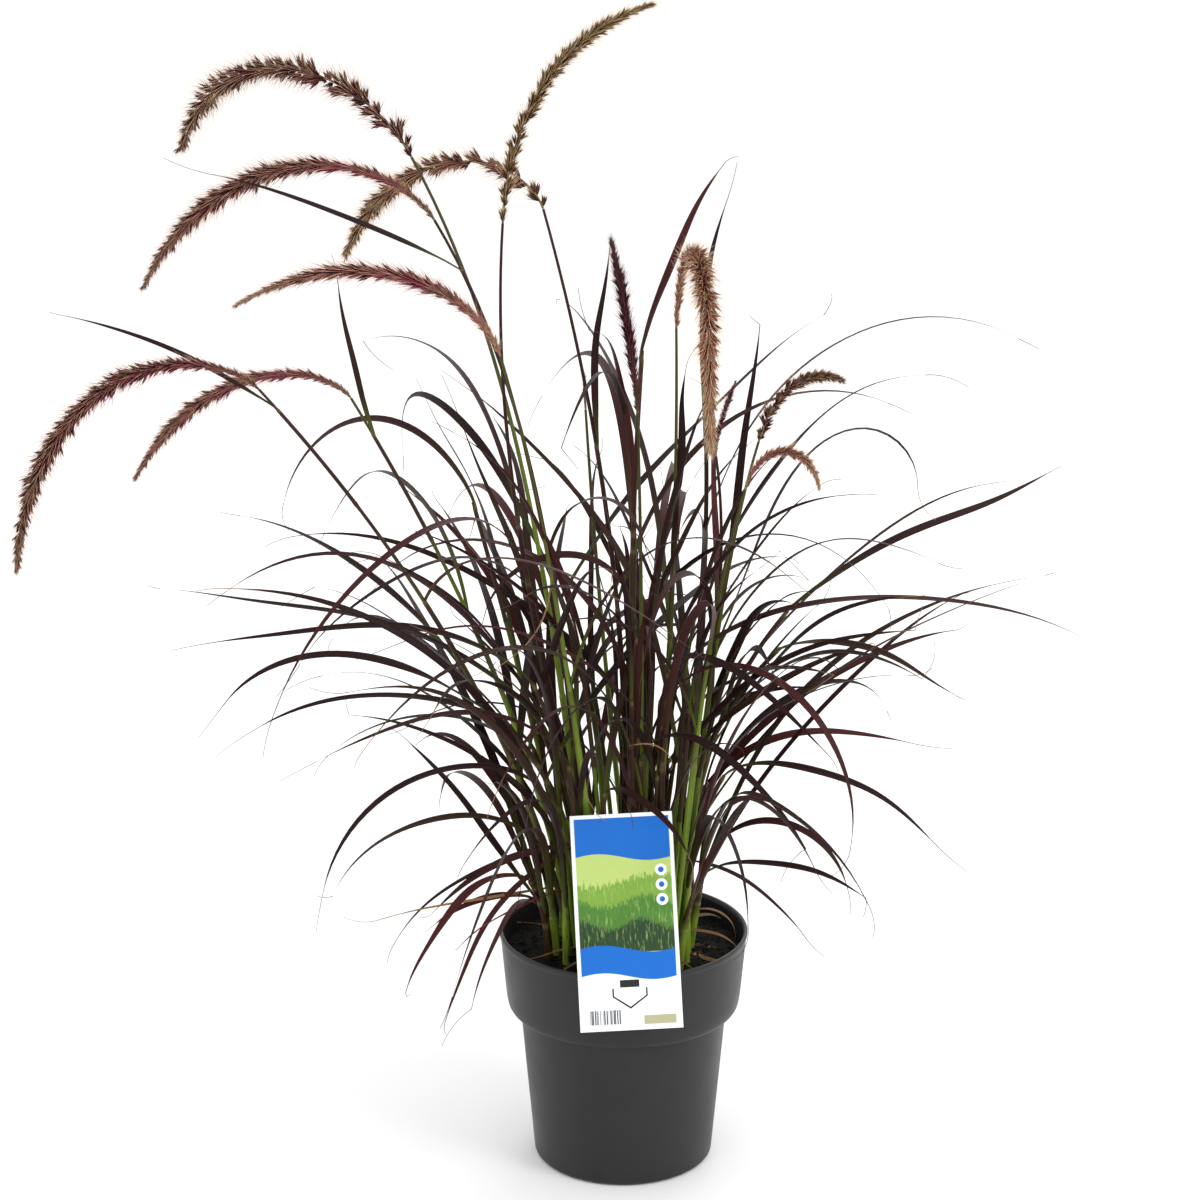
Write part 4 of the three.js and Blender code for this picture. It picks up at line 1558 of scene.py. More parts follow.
    def add_blade(self, spines: Spines, route: Route, width: float, tone: float) -> None:
        """Adds a blade that twists and waves a little on its route.

        Args:
            spines: Lines of the piece.
            route: Route of the blade.
            width: Widest width.
            tone: Tone of the blade.
        """
        share = np.linspace(0, 1, self.blade_stations) ** 1.15
        cut = route.sample(share)
        twist = self.lots.pick(-0.9, 1.8) * share**2 + self.lots.pick(-0.2, 0.4) * self._sine(share, 1.0, 1.5)
        if route.bow.roll == 0:
            side = math.copysign(1.0, math.cos(math.radians(route.bow.heading)))
            twist = 0.4 * twist + side * self.facing * np.minimum(1, 4 * share)
        across = turned(cut.across, cut.along, twist)
        foot, gain = self.half_profile
        half = foot + gain * np.sin(np.minimum(share / self.widest, 1) * math.pi / 2)
        half = width / 2 * half * (1 - share**3)
        points = cut.points + route.bow.length * (cut.across * self._wave(share) + cut.up * self._wave(share))
        spines.add(points, across=across, upward=np.cross(cut.along, across), along=share, collar=0.0,
                   sheath=0.0, size=np.maximum(half, self.hair_radii[0]) * MM, tone=tone,
                   kind=Kind.BLADE.value)
        length = self.lots.pick(*self.hair_lengths) * min(1.0, route.bow.length / 200)
        self._add_hair(spines, points[-1], unit(points[-1:] - points[-2])[0], across[-1], length, tone)

    def _sine(self, share: np.ndarray, turns: float, spread: float) -> np.ndarray:
        """Returns a sine along a blade, with its turns and its start by lot."""
        return np.sin(share * math.tau * self.lots.pick(turns, spread) + self.lots.pick(0, math.tau))

    def _wave(self, share: np.ndarray) -> np.ndarray:
        """Returns how far a blade of length 1 strays to one side, as a column."""
        return (self.sway * share * self._sine(share, 0.6, 0.9))[:, None]

    def _add_hair(self, spines: Spines, start: np.ndarray, way: np.ndarray, across: np.ndarray, length: float,
                  tone: float) -> None:
        """Adds the hair that a blade is drawn out to, curled at random.

        Args:
            spines: Lines of the piece.
            start: Tip of the blade.
            way: Way on along the blade.
            across: Way across it.
            length: Length of the hair.
            tone: Tone of the blade.
        """
        steps = self.hair_steps
        spin = self.lots.pick(0, math.tau)
        axis = Vector(across * math.cos(spin) + np.cross(way, across) * math.sin(spin))
        kink = self.lots.pick(0.9, 0.8) if self.lots.draw() < self.kinked else 0.0
        curl = self.lots.pick(-1.1, 2.2) / steps
        heading = Matrix.Rotation(kink, 3, axis) @ Vector(way)
        points = [Vector(start)]
        for _ in range(steps):
            points.append(points[-1] + heading * (length / steps))
            heading = Matrix.Rotation(curl, 3, axis) @ heading
        rows = np.array(points)
        inside = np.all((rows > self.room[0]) & (rows < self.room[1]), axis=1)
        count = steps + 1 if inside.all() else int(np.argmin(inside))
        if count > 1:
            sizes = np.linspace(*self.hair_radii, steps + 1)[:count] * MM
            spines.add(rows[:count], across=np.tile(np.array(axis), (count, 1)),
                       upward=np.tile(way, (count, 1)), size=sizes, along=1.0, collar=0.0, sheath=0.0,
                       tone=tone, kind=Kind.HAIR.value)


@dataclass(frozen=True)
class CrownForm:
    """How the young shoots inside the crown are drawn.

    Attributes:
        number: How many are drawn.
        reach: Half the width and half the depth of the crown.
        middle: Where its middle lies, to the right.
        sizes: Sizes of their stems.
        seed: Seed of the draws.
    """

    number: int = 27
    reach: Spot = (44.0, 38.0)
    middle: float = 4.0
    sizes: StemSizes = StemSizes(2.4, 1.4)
    seed: int = 11

    def grow(self) -> list[Strand]:
        """Grows the shoots.

        Returns:
            The shoots.
        """
        lots = Lots(self.seed)
        grown: list[Strand] = []
        while len(grown) < self.number:
            turn, away = lots.pick(0, math.tau), math.sqrt(lots.draw())
            x, y = self.middle + self.reach[0] * away * math.cos(turn), self.reach[1] * away * math.sin(turn)
            heading = math.degrees(turn) + lots.pick(-30, 60)
            fall = 88 - 30 * away * lots.draw()
            route = Route(ground(x, y), Bow(heading, 90 - 6 * away, fall, lots.pick(90, 190)))
            tip, length = lots.pick(10, 55), lots.pick(110, 130)
            swing, roll = lots.pick(-20, 40), lots.pick(-60, 120)
            width = lots.pick(4.4, 2.2)
            blade = Route(route.points[STEPS - 2], Bow(heading, fall, tip, length, 1.1, swing, roll))
            if not hides_front(np.vstack((route.points, blade.points))):
                grown.append(Strand("", self.sizes, route, [(blade, width, 1.0)]))
        return grown


# Start, bow, width and tone of each dead leaf that lies on the mix or hangs from the crown
DEAD_LEAVES = (
    ((50, -8, 196), Bow(-18, 8, -42, 46), 2.4, 0.3),
    ((56, 6, 206), Bow(10, 30, -88, 52, 0.8), 1.8, 0.5),
    ((-38, 6, 188), Bow(172, 14, 2, 46, 1.0, 6, 30), 7.0, 0.4),
    ((-34, -24, 189), Bow(200, -4, -10, 44), 1.8, 0.2),
    ((-30, -44, 187), Bow(214, -6, -8, 40, 1.0, 30), 2.0, 0.6),
    ((46, 22, 192), Bow(30, 6, -30, 40), 3.0, 0.7),
    ((30, -40, 190), Bow(-30, -2, -12, 36, 1.0, -30), 2.2, 0.1),
    ((-10, 52, 190), Bow(100, 4, -20, 34), 4.0, 0.6),
    ((60, -30, 184), Bow(-60, -2, -4, 26, 1.0, 60), 3.4, 0.3),
    ((-55, -52, 512), Bow(185, -88, -22, 92, 1.3, 20), 1.3, 0.1),
    ((4, -62, 372), Bow(-5, 16, -76, 40), 1.3, 0.1),
    ((-45, -30, 239), Bow(210, 6, -32, 105, 0.7, 0, 40), 5.0, 0.97),
    ((-41, -8, 236), Bow(204, 0, -2, 164, 1.5), 2.4, 0.3),
)

# Start, bow, width and tone of each low leaf beside the crown
LOW_LEAVES = (
    ((-43, -20, 272), Bow(180, 6, -56, 170, 0.7), 3.4, 0.5),
    ((-39, -29, 277), Bow(174, -6, -50, 134, 1.0), 6.5, 0.7),
    ((-36, -28, 276), Bow(184, -18, -80, 192, 0.7), 4.8, 0.8),
    ((46, -24, 262), Bow(-8, 4, -60, 120, 0.8), 3.4, 0.6),
)


@dataclass(frozen=True)
class Spikelet:
    """A cluster of pointed spikelets with bristles, along +Z, in millimetres.

    Attributes:
        bodies: Number of spikelets.
        body_length: Shortest length of a spikelet, and the spread.
        body_radii: Radii of a spikelet, from its base on.
        body_leans: Least lean of a spikelet, in degrees, and the spread.
        bristles: Number of bristles.
        bristle_lengths: Shortest length of a bristle, and the spread.
        bristle_leans: Least lean of a bristle, in degrees, and the spread.
        bristle_radius: Radius of a bristle at its base.
        seed: Seed of the cluster.
    """

    bodies: int = 3
    body_length: Spot = (10.2, 4.2)
    body_radii: tuple[float, ...] = (0.5, 1.25, 0.775)
    body_leans: Spot = (6.0, 7.0)
    bristles: int = 12
    bristle_lengths: Spot = (16.0, 8.0)
    bristle_leans: Spot = (5.6, 22.4)
    bristle_radius: float = 0.2
    seed: int = 5

    def build(self, name: str) -> Object:
        """Builds the cluster that a tree places.

        Args:
            name: Name of the object.

        Returns:
            The object.
        """
        lots, spikes = Lots(self.seed), Spikes()
        for number in range(self.bodies):
            turn = math.tau * number / self.bodies + lots.pick(0, 0.8)
            lean = math.radians(lots.pick(*self.body_leans))
            spikes.add(lean, turn, lots.pick(*self.body_length), self.body_radii, 4, 0.0)
        for number in range(self.bristles):
            turn = math.tau * number / self.bristles + lots.pick(0, 0.6)
            lean = math.radians(lots.pick(*self.bristle_leans))
            spikes.add(lean, turn, lots.pick(*self.bristle_lengths), (self.bristle_radius,), 3, 1.0)
        return spikes.build(name)


class Spikes:
    """Collects closed spikes that start at the origin."""

    def __init__(self) -> None:
        """Starts with none."""
        self.corners: list[Vector] = []
        self.faces: list[tuple[int, ...]] = []
        self.values: dict[str, list[float]] = {"reach": [], "bristle": []}

    def add(self, lean: float, turn: float, length: float, radii: Sequence[float], sides: int,
            bristle: float) -> None:
        """Adds a spike through rings of given radii to a point.

        Args:
            lean: Angle to +Z.
            turn: Turn about +Z.
            length: Its length.
            radii: Radius of each ring, from its base on.
            sides: Its sides.
            bristle: 1 for a bristle and 0 for a scale.
        """
        way = Matrix.Rotation(turn, 3, "Z") @ Matrix.Rotation(lean, 3, "Y")
        first, rings = len(self.corners), len(radii)
        angles = [math.tau * i / sides for i in range(sides)]
        spots = [(r * math.cos(a), r * math.sin(a), k / rings) for k, r in enumerate(radii) for a in angles]
        for x, y, reach in (*spots, (0.0, 0.0, 1.0)):
            self.corners.append(way @ Vector((x, y, reach * length)) * MM)
            self.values["reach"].append(reach)
            self.values["bristle"].append(bristle)
        self.faces.append(tuple(first + i for i in reversed(range(sides))))
        last, tip = first + (rings - 1) * sides, len(self.corners) - 1
        for low in range(first, last, sides):
            pairs = [(low + i, low + (i + 1) % sides) for i in range(sides)]
            self.faces += [(a, b, b + sides, a + sides) for a, b in pairs]
        self.faces += [(last + i, last + (i + 1) % sides, tip) for i in range(sides)]

    def build(self, name: str) -> Object:
        """Makes the spikes an object.

        Args:
            name: Its name.

        Returns:
            The object.
        """
        mesh = bpy.data.meshes.new(name)
        mesh.from_pydata(self.corners, [], self.faces)
        for key, values in self.values.items():
            mesh.attributes.new(key, "FLOAT", "POINT").data.foreach_set("value", values)
        return linked(name, mesh)


class PlumeTree(GeometryTree):
    """Sets spikelets round an axis, spiralling from its foot to its tip."""

    def __init__(self) -> None:
        """Builds the tree."""
        super().__init__("set_spikelets")
        spikelet = self.input("Spikelet", "Object")
        count = self.input("Count", "Int", 200)
        seed = self.input("Seed", "Int", 1)
        turn = self.input("Turn per spikelet", "Float", math.radians(137.5))
        wander = self.input("Wander of lean", "Float", math.radians(9))
        plume_material = self.input("Plume material", "Material")
        axis_material = self.input("Axis material", "Material")
        curve = self.curve(self.entry.outputs[0])
        axis = self.sweep(curve, self.ring(7), "axis")
        spots = self.node("GeometryNodeCurveToPoints", {"Curve": curve, "Count": count}, mode="COUNT").outputs
        lean = self.plus(self.attribute("lean"), self.times(self.random(seed, 0.0, -1.0, 1.0), wander))
        around = self.times(self.result("GeometryNodeInputIndex"), turn)
        stood = self._turned(spots["Rotation"], self.vector(z=around))
        facing = self._turned(stood, self.vector(y=lean))
        outward = self.result("FunctionNodeRotateVector", {"Vector": (1.0, 0.0, 0.0), "Rotation": stood})
        # under runs from 0 where a spikelet points up to 1 where it points down; the plume's finish paints
        # shade on the underside by it.
        points = self.store(spots[0], "under", self.math("MULTIPLY_ADD", self.parts(outward)[2], -0.5, 0.5))
        size = self.times(self.attribute("fullness"), self.random(seed, 17.0, 0.8, 1.18))
        chances = {"A": self.random(seed, 23.0), "B": self.attribute("closeness")}
        kept = self.result("FunctionNodeCompare", chances, data_type="FLOAT", operation="LESS_THAN")
        shape = self.node("GeometryNodeObjectInfo", {"Object": spikelet, "As Instance": True},
                          transform_space="ORIGINAL").outputs["Geometry"]
        placed = self.scattered(points, size, seed, 31.0, Selection=kept, Instance=shape, Rotation=facing)
        self.finish((placed, plume_material), (axis, axis_material))

    def _turned(self, rotation: NodeSocket, angles: NodeSocket) -> NodeSocket:
        """Turns a rotation in its own axes.

        Args:
            rotation: The rotation.
            angles: The angles about the three axes.

        Returns:
            The turned rotation.
        """
        turn = self.result("FunctionNodeEulerToRotation", {"Euler": angles})
        inputs = {"Rotation": rotation, "Rotate By": turn}
        return self.result("FunctionNodeRotateRotation", inputs, rotation_space="LOCAL")


@dataclass
class PlumeMaker:
    """Makes the bottlebrush plumes.

    Attributes:
        tree: Sets the spikelets.
        spikelet: The cluster that is set.
        axis_material: Finish of the axis.
        materials: Finish of each tint.
        per_length: Spikelets per millimetre, for a plume of fullness 1.
        stations: Points of an axis.
        tip_length: Reach of the last spikelets beyond the axis.
        axis_radii: Radius of the axis at its foot and at its tip.
        closed_lean: Lean of spikelets that are still closed, in degrees.
        opening: Share of the plume over which its spikelets open.
        lean_profile: Lean of the spikelets over the plume, as shares and values; so are the next three.
        gap_profile: Share of spikelets that an open plume has lost.
        bud_profile: How much of a closed plume is in bud.
        blush_profile: How pink it is.
    """

    tree: PlumeTree
    spikelet: Object
    axis_material: Material
    materials: dict[Tint, Material]
    per_length: float = 0.85
    stations: int = 48
    tip_length: float = 7.0
    axis_radii: Spot = (1.0, 0.45)
    closed_lean: float = 16.0
    opening: float = 0.18
    lean_profile: Profile = ((0.75, 1), (1, 0.45))
    gap_profile: Profile = ((0, 0.15, 0.35, 0.6), (0.65, 0.5, 0.3, 0))
    bud_profile: Profile = ((0, 0.35, 0.75, 1), (2.2, 0, 0, 2))
    blush_profile: Profile = ((0, 0.15, 0.5, 1), (0.5, 1.2, 0.8, 0.3))

    def make(self, plume: PlumeRoute, name: str) -> Object:
        """Makes one plume.

        Args:
            plume: Its number, form and route.
            name: Name of the piece.

        Returns:
            The piece.
        """
        form, length = plume.form, plume.route.bow.length
        share = np.linspace(0, 1 - min(self.tip_length * form.fullness / length, 0.3), self.stations)
        cut = plume.route.sample(share)
        closed, apart = max(-form.openness, 0.0), max(form.openness, 0.0)
        foot_rise = (0.5 if closed else 0.85) + 1.6 * share
        tip_rise = 0.5 - 0.35 * closed + 1.9 * (1 - share)
        rise = np.minimum(1, np.minimum(foot_rise, tip_rise))
        opened = np.clip((share - closed) / self.opening + 0.6 * apart, 0, 1)
        lean = self.closed_lean + (form.spread - self.closed_lean) * opened
        spines = Spines()
        spines.add(cut.points, across=cut.across, upward=cut.up, along=share, fullness=rise * form.fullness,
                   blush=form.blush * np.interp(share, *self.blush_profile),
                   lean=np.radians(lean * np.interp(share, *self.lean_profile)),
                   young=closed**2 * np.interp(share, *self.bud_profile),
                   closeness=1 - apart * np.interp(share, *self.gap_profile),
                   axis=np.interp(share, (0, 1), self.axis_radii) * MM)
        return self.tree.run(spines.mesh(f"{name}_line"), name, {
            "Spikelet": self.spikelet,
            "Count": round(length * self.per_length / form.fullness),
            "Seed": plume.number,
            "Plume material": self.materials[form.tint],
            "Axis material": self.axis_material,
        })


def mesh_object(name: str, corners: Sequence, faces: Sequence, material: Material | None = None,
                smooth: bool = True) -> Object:
    """Makes an object from corners and faces, facing outwards.

    Args:
        name: Name of the object.
        corners: Corners, in metres.
        faces: Corner numbers of each face.
        material: Its finish.
        smooth: Whether it is shaded smooth.

    Returns:
        The object.
    """
    mesh = bpy.data.meshes.new(name)
    mesh.from_pydata([tuple(c) for c in corners], [], [tuple(f) for f in faces])
    made = bmesh.new()
    made.from_mesh(mesh)
    bmesh.ops.remove_doubles(made, verts=made.verts, dist=1e-7)
    bmesh.ops.recalc_face_normals(made, faces=made.faces)
    made.to_mesh(mesh)
    made.free()
    mesh.polygons.foreach_set("use_smooth", [smooth] * len(mesh.polygons))
    if material:
        mesh.materials.append(material)
    return linked(name, mesh)


def lathe(profile: Sequence[tuple[float, float]], sides: int) -> tuple[list[tuple], list[tuple]]:
    """Turns a profile about the Z axis.

    Args:
        profile: Radius and height of each point, in millimetres; a radius of 0 closes the form.
        sides: Number of sides.

    Returns:
        Corners in metres, and faces.
    """
    corners, rings = [], []
    for radius, height in profile:
        if radius == 0:
            rings.append([len(corners)] * sides)
            corners.append((0.0, 0.0, height * MM))
        else:
            rings.append(list(range(len(corners), len(corners) + sides)))
            for i in range(sides):
                angle = math.tau * i / sides
                corners.append((radius * math.cos(angle) * MM, radius * math.sin(angle) * MM, height * MM))
    faces = []
    for low, high in zip(rings, rings[1:]):
        for i in range(sides):
            j = (i + 1) % sides
            face = dict.fromkeys((low[i], low[j], high[j], high[i]))
            if len(face) > 2:
                faces.append(tuple(face))
    return corners, faces


def rounded(points: Sequence[tuple[float, float, float]], steps: int = 5) -> list[tuple[float, float]]:
    """Rounds the corners of an outline.

    Args:
        points: Radius, height and rounding radius of each corner.
        steps: Points of each rounding.

    Returns:
        The outline with its corners rounded.
    """
    outline: list[tuple[float, float]] = []
    for i, (x, z, size) in enumerate(points):
        if size == 0 or i in (0, len(points) - 1):
            outline.append((x, z))
            continue
        spot = Vector((x, z))
        back = (Vector(points[i - 1][:2]) - spot).normalized()
        ahead = (Vector(points[i + 1][:2]) - spot).normalized()
        for k in range(steps + 1):
            t = k / steps
            curve = spot + back * size * (1 - t) ** 2 + ahead * size * t**2
            outline.append((curve.x, curve.y))
    return outline


@dataclass
class Pot:
    """The nursery pot: a deep collar over a tapered body, with a rolled bead at the rim.

    Attributes:
        sides: Sides of the wall.
        base_radius: Radius of the base.
        body_radius: Radius at the top of the body.
        collar_foot: Height of the collar's foot.
        collar_radius: Radius at the collar's foot.
        collar_top: Radius under the rim.
        rim: Radius of the rim.
        wall: Thickness of the wall.
        floor: Thickness of the floor.
        drains: Number of drain holes.
        drain_radius: Radius of a drain hole.
        drain_circle: Radius of the circle of the drain holes.
        lug: Width, length and height of the lug for the card.
        lug_ahead: How far the lug stands out in front of the card.
    """

    sides: int = 160
    base_radius: float = 72.5
    body_radius: float = 83.5
    collar_foot: float = 128.0
    collar_radius: float = 94.5
    collar_top: float = 98.5
    rim: float = RIM_RADIUS
    wall: float = 1.6
    floor: float = 3.0
    drains: int = 6
    drain_radius: float = 6.0
    drain_circle: float = 52.0
    lug: tuple[float, float, float] = (14.4, 7.0, 5.0)
    lug_ahead: float = 0.9

    def build(self, material: Material) -> Object:
        """Builds the pot.

        Args:
            material: Its finish.

        Returns:
            Its piece.
        """
        shell = mesh_object("pot_shell", *lathe(self._profile(), self.sides), material)
        made = carved(shell, self._drain_cutters(), "pot_cut")
        return joined(made, self._lug(material), "nursery_pot")

    def _profile(self) -> list[Spot]:
        """Returns the outline of the wall, from the middle of the base round to the middle of the floor."""
        foot, height, wall = self.collar_foot, POT_HEIGHT, self.wall
        return rounded([
            (0, 0, 0),
            (self.base_radius - 9, 0, 1.5),
            (self.base_radius - 8, 1.2, 1.0),
            (self.base_radius - 5, 0, 1.5),
            (self.base_radius, 1.5, 3.2),
            (self.body_radius - 0.3, foot - 6, 3.0),
            (self.body_radius + 0.4, foot - 0.2, 1.6),
            (self.collar_radius - 1.6, foot + 1.6, 5.0),
            (self.collar_radius + 0.4, foot + 12, 4.0),
            (self.rim - 0.9, height - 4.6, 0.8),
            (self.rim, height - 3.4, 0.8),
            (self.rim, height, 1.3),
            (self.rim - 2.6, height, 0.9),
            (self.collar_top - wall - 0.4, height - 3, 1.0),
            (self.collar_radius - wall, foot + 10, 5.0),
            (self.body_radius - wall, foot + 2, 4.0),
            (self.base_radius - wall, self.floor, 3.0),
            (0, self.floor, 0),
        ])

    def _drain_cutters(self) -> Object:
        """Makes one object that holds a cylinder for each drain hole.

        Returns:
            The object.
        """
        ring, plates = lathe([(0, -6), (self.drain_radius, -6), (self.drain_radius, 8), (0, 8)], 24)
        corners: list[tuple] = []
        faces: list[tuple] = []
        for hole in range(self.drains):
            turn = math.tau * (hole + 0.5) / self.drains
            middle_x, middle_y = (self.drain_circle * side * MM for side in (math.cos(turn), math.sin(turn)))
            faces += [tuple(len(corners) + i for i in plate) for plate in plates]
            corners += [(x + middle_x, y + middle_y, z) for x, y, z in ring]
        return mesh_object("drain_cutters", corners, faces)

    def _lug(self, material: Material) -> Object:
        """Makes the lug that comes through the card's slot.

        Args:
            material: Its finish.

        Returns:
            The lug.
        """
        width, length, height = self.lug
        forward = self.lug_ahead - length / 2 + CARD.thickness / 2
        place = CARD.matrix()
        corners = [
            place @ Vector((x * width / 2, y * length / 2 - forward, z * height / 2)) * MM
            for x in (-1, 1) for y in (-1, 1) for z in (-1, 1)
        ]
        faces = [(0, 1, 3, 2), (4, 6, 7, 5), (0, 4, 5, 1), (2, 3, 7, 6), (0, 2, 6, 4), (1, 5, 7, 3)]
        block = mesh_object("pot_lug", corners, faces, material, smooth=False)
        bevel = block.modifiers.new("edges", "BEVEL")
        bevel.width, bevel.segments = 0.5 * MM, 2
        return applied(block, "pot_lug")


class CrumbTree(GeometryTree):
    """Strews chips over the top of the mix."""

    def __init__(self) -> None:
        """Builds the tree."""
        super().__init__("strew_chips")
        chips = self.input("Chips", "Collection")
        density = self.input("Density", "Float", 60000.0)
        distance = self.input("Least distance", "Float", 0.0018)
        smallest = self.input("Smallest", "Float", 0.45)
        largest = self.input("Largest", "Float", 2.1)
        seed = self.input("Seed", "Int", 3)
        material = self.input("Mix material", "Material")
        strewn = self.input("Strewn radius", "Float", 0.0905)
        base = self.entry.outputs[0]
        upward = self.parts(self.result("GeometryNodeInputNormal"))[2]
        x, y, _ = self.place()
        away = self.math("SQRT", self.plus(self.times(x, x), self.times(y, y)))
        top = self.times(self.math("GREATER_THAN", upward, 0.5), self.math("LESS_THAN", away, strewn))
        spots = self.result("GeometryNodeDistributePointsOnFaces", {
            "Mesh": base, "Selection": top, "Distance Min": distance, "Density Max": density, "Seed": seed,
        }, distribute_method="POISSON")
        kinds = self.result("GeometryNodeCollectionInfo", {
            "Collection": chips, "Separate Children": True, "Reset Children": True,
        })
        limits = {"Min": (-0.5, -0.5, 0.0), "Max": (0.5, 0.5, math.tau), "Seed": seed}
        turn = self.result("FunctionNodeRandomValue", limits, data_type="FLOAT_VECTOR")
        share = self.math("POWER", self.random(seed, 5.0), 2.6)
        size = self.result("ShaderNodeMapRange", {"Value": share, "To Min": smallest, "To Max": largest})
        pick = self.result("FunctionNodeRandomValue", {"Min": 0, "Max": 3, "Seed": seed}, data_type="INT")
        rotation = self.result("FunctionNodeEulerToRotation", {"Euler": turn})
        placed = self.scattered(spots, size, seed, 9.0, Instance=kinds, Pick_Instance=True,
                                Instance_Index=pick, Rotation=rotation)
        self.finish((base, material), (placed, material))


@dataclass
class PottingMix:
    """The bark mix: a body that fills the pot, its uneven top, and chips strewn over it.

    Attributes:
        pot: The pot that it fills.
        edge_radius: Radius of the top at the wall.
        edge_drop: How far the top falls off at the wall.
        rings: Rings of the top.
        sides: Sides of the body.
        relief: Height of the unevenness.
        chips: Half the length, width and height of a crumb, a bark flake, a sliver and a round crumb.
    """

    pot: Pot
    edge_radius: float = 95.3
    edge_drop: float = 2.5
    rings: int = 44
    sides: int = 144
    relief: float = 1.7
    chips: tuple[tuple[float, float, float], ...] = (
        (1.5, 1.2, 1.0), (2.8, 1.8, 0.5), (3.6, 0.7, 0.5), (1.1, 1.1, 0.9),
    )

    def build(self, material: Material) -> Object:
        """Builds the mix.

        Args:
            material: Its finish.

        Returns:
            Its piece.
        """
        inset = self.pot.wall + GAP
        foot = self.pot.collar_foot
        profile = [
            (0, self.pot.floor + GAP),
            (self.pot.base_radius - inset, self.pot.floor + GAP),
            (self.pot.body_radius - inset, foot + 2),
            (self.pot.collar_radius - inset, foot + 10.3),
            (self.edge_radius, SOIL_TOP - self.edge_drop),
        ]
        for ring in range(1, self.rings):
            share = 1 - ring / self.rings
            drop = self.edge_drop * max(0.0, (share - 0.7) / 0.3)
            profile.append((self.edge_radius * share, SOIL_TOP - drop))
        profile.append((0, SOIL_TOP))
        corners, faces = lathe(profile, self.sides)
        body = mesh_object("mix_body", [self._uneven(Vector(c)) for c in corners], faces)
        mesh = body.data.copy()
        bpy.data.objects.remove(body)
        chips = self._chips()
        made = CrumbTree().run(mesh, "potting_mix", {"Chips": chips, "Mix material": material})
        for chip in list(chips.objects):
            bpy.data.objects.remove(chip)
        bpy.data.collections.remove(chips)
        return made

    def _uneven(self, corner: Vector) -> Vector:
        """Lifts or lowers a corner of the top by the relief at its place.

        Args:
            corner: The corner.

        Returns:
            The moved corner.
        """
        if corner.z < (SOIL_TOP - 4) * MM:
            return corner
        rough = noise.fractal(corner * 55, 0.9, 2.0, 4) * self.relief * MM
        edge = min(1.0, (self.edge_radius * MM - corner.xy.length) / (4 * MM) + 0.2)
        return corner + Vector((0, 0, rough * edge))

    def _chips(self) -> Collection:
        """Makes a collection of the chips.

        Returns:
            The collection.
        """
        made = bpy.data.collections.new("chips")
        lots = Lots(23)
        for number, size in enumerate(self.chips):
            form = bmesh.new()
            bmesh.ops.create_icosphere(form, subdivisions=1, radius=1)
            for vertex in form.verts:
                vertex.co *= lots.pick(0.75, 0.5)
                vertex.co = Vector(c * s * MM for c, s in zip(vertex.co, size))
            mesh = bpy.data.meshes.new(f"chip_{number}")
            form.to_mesh(mesh)
            form.free()
            made.objects.link(bpy.data.objects.new(mesh.name, mesh))
        return made


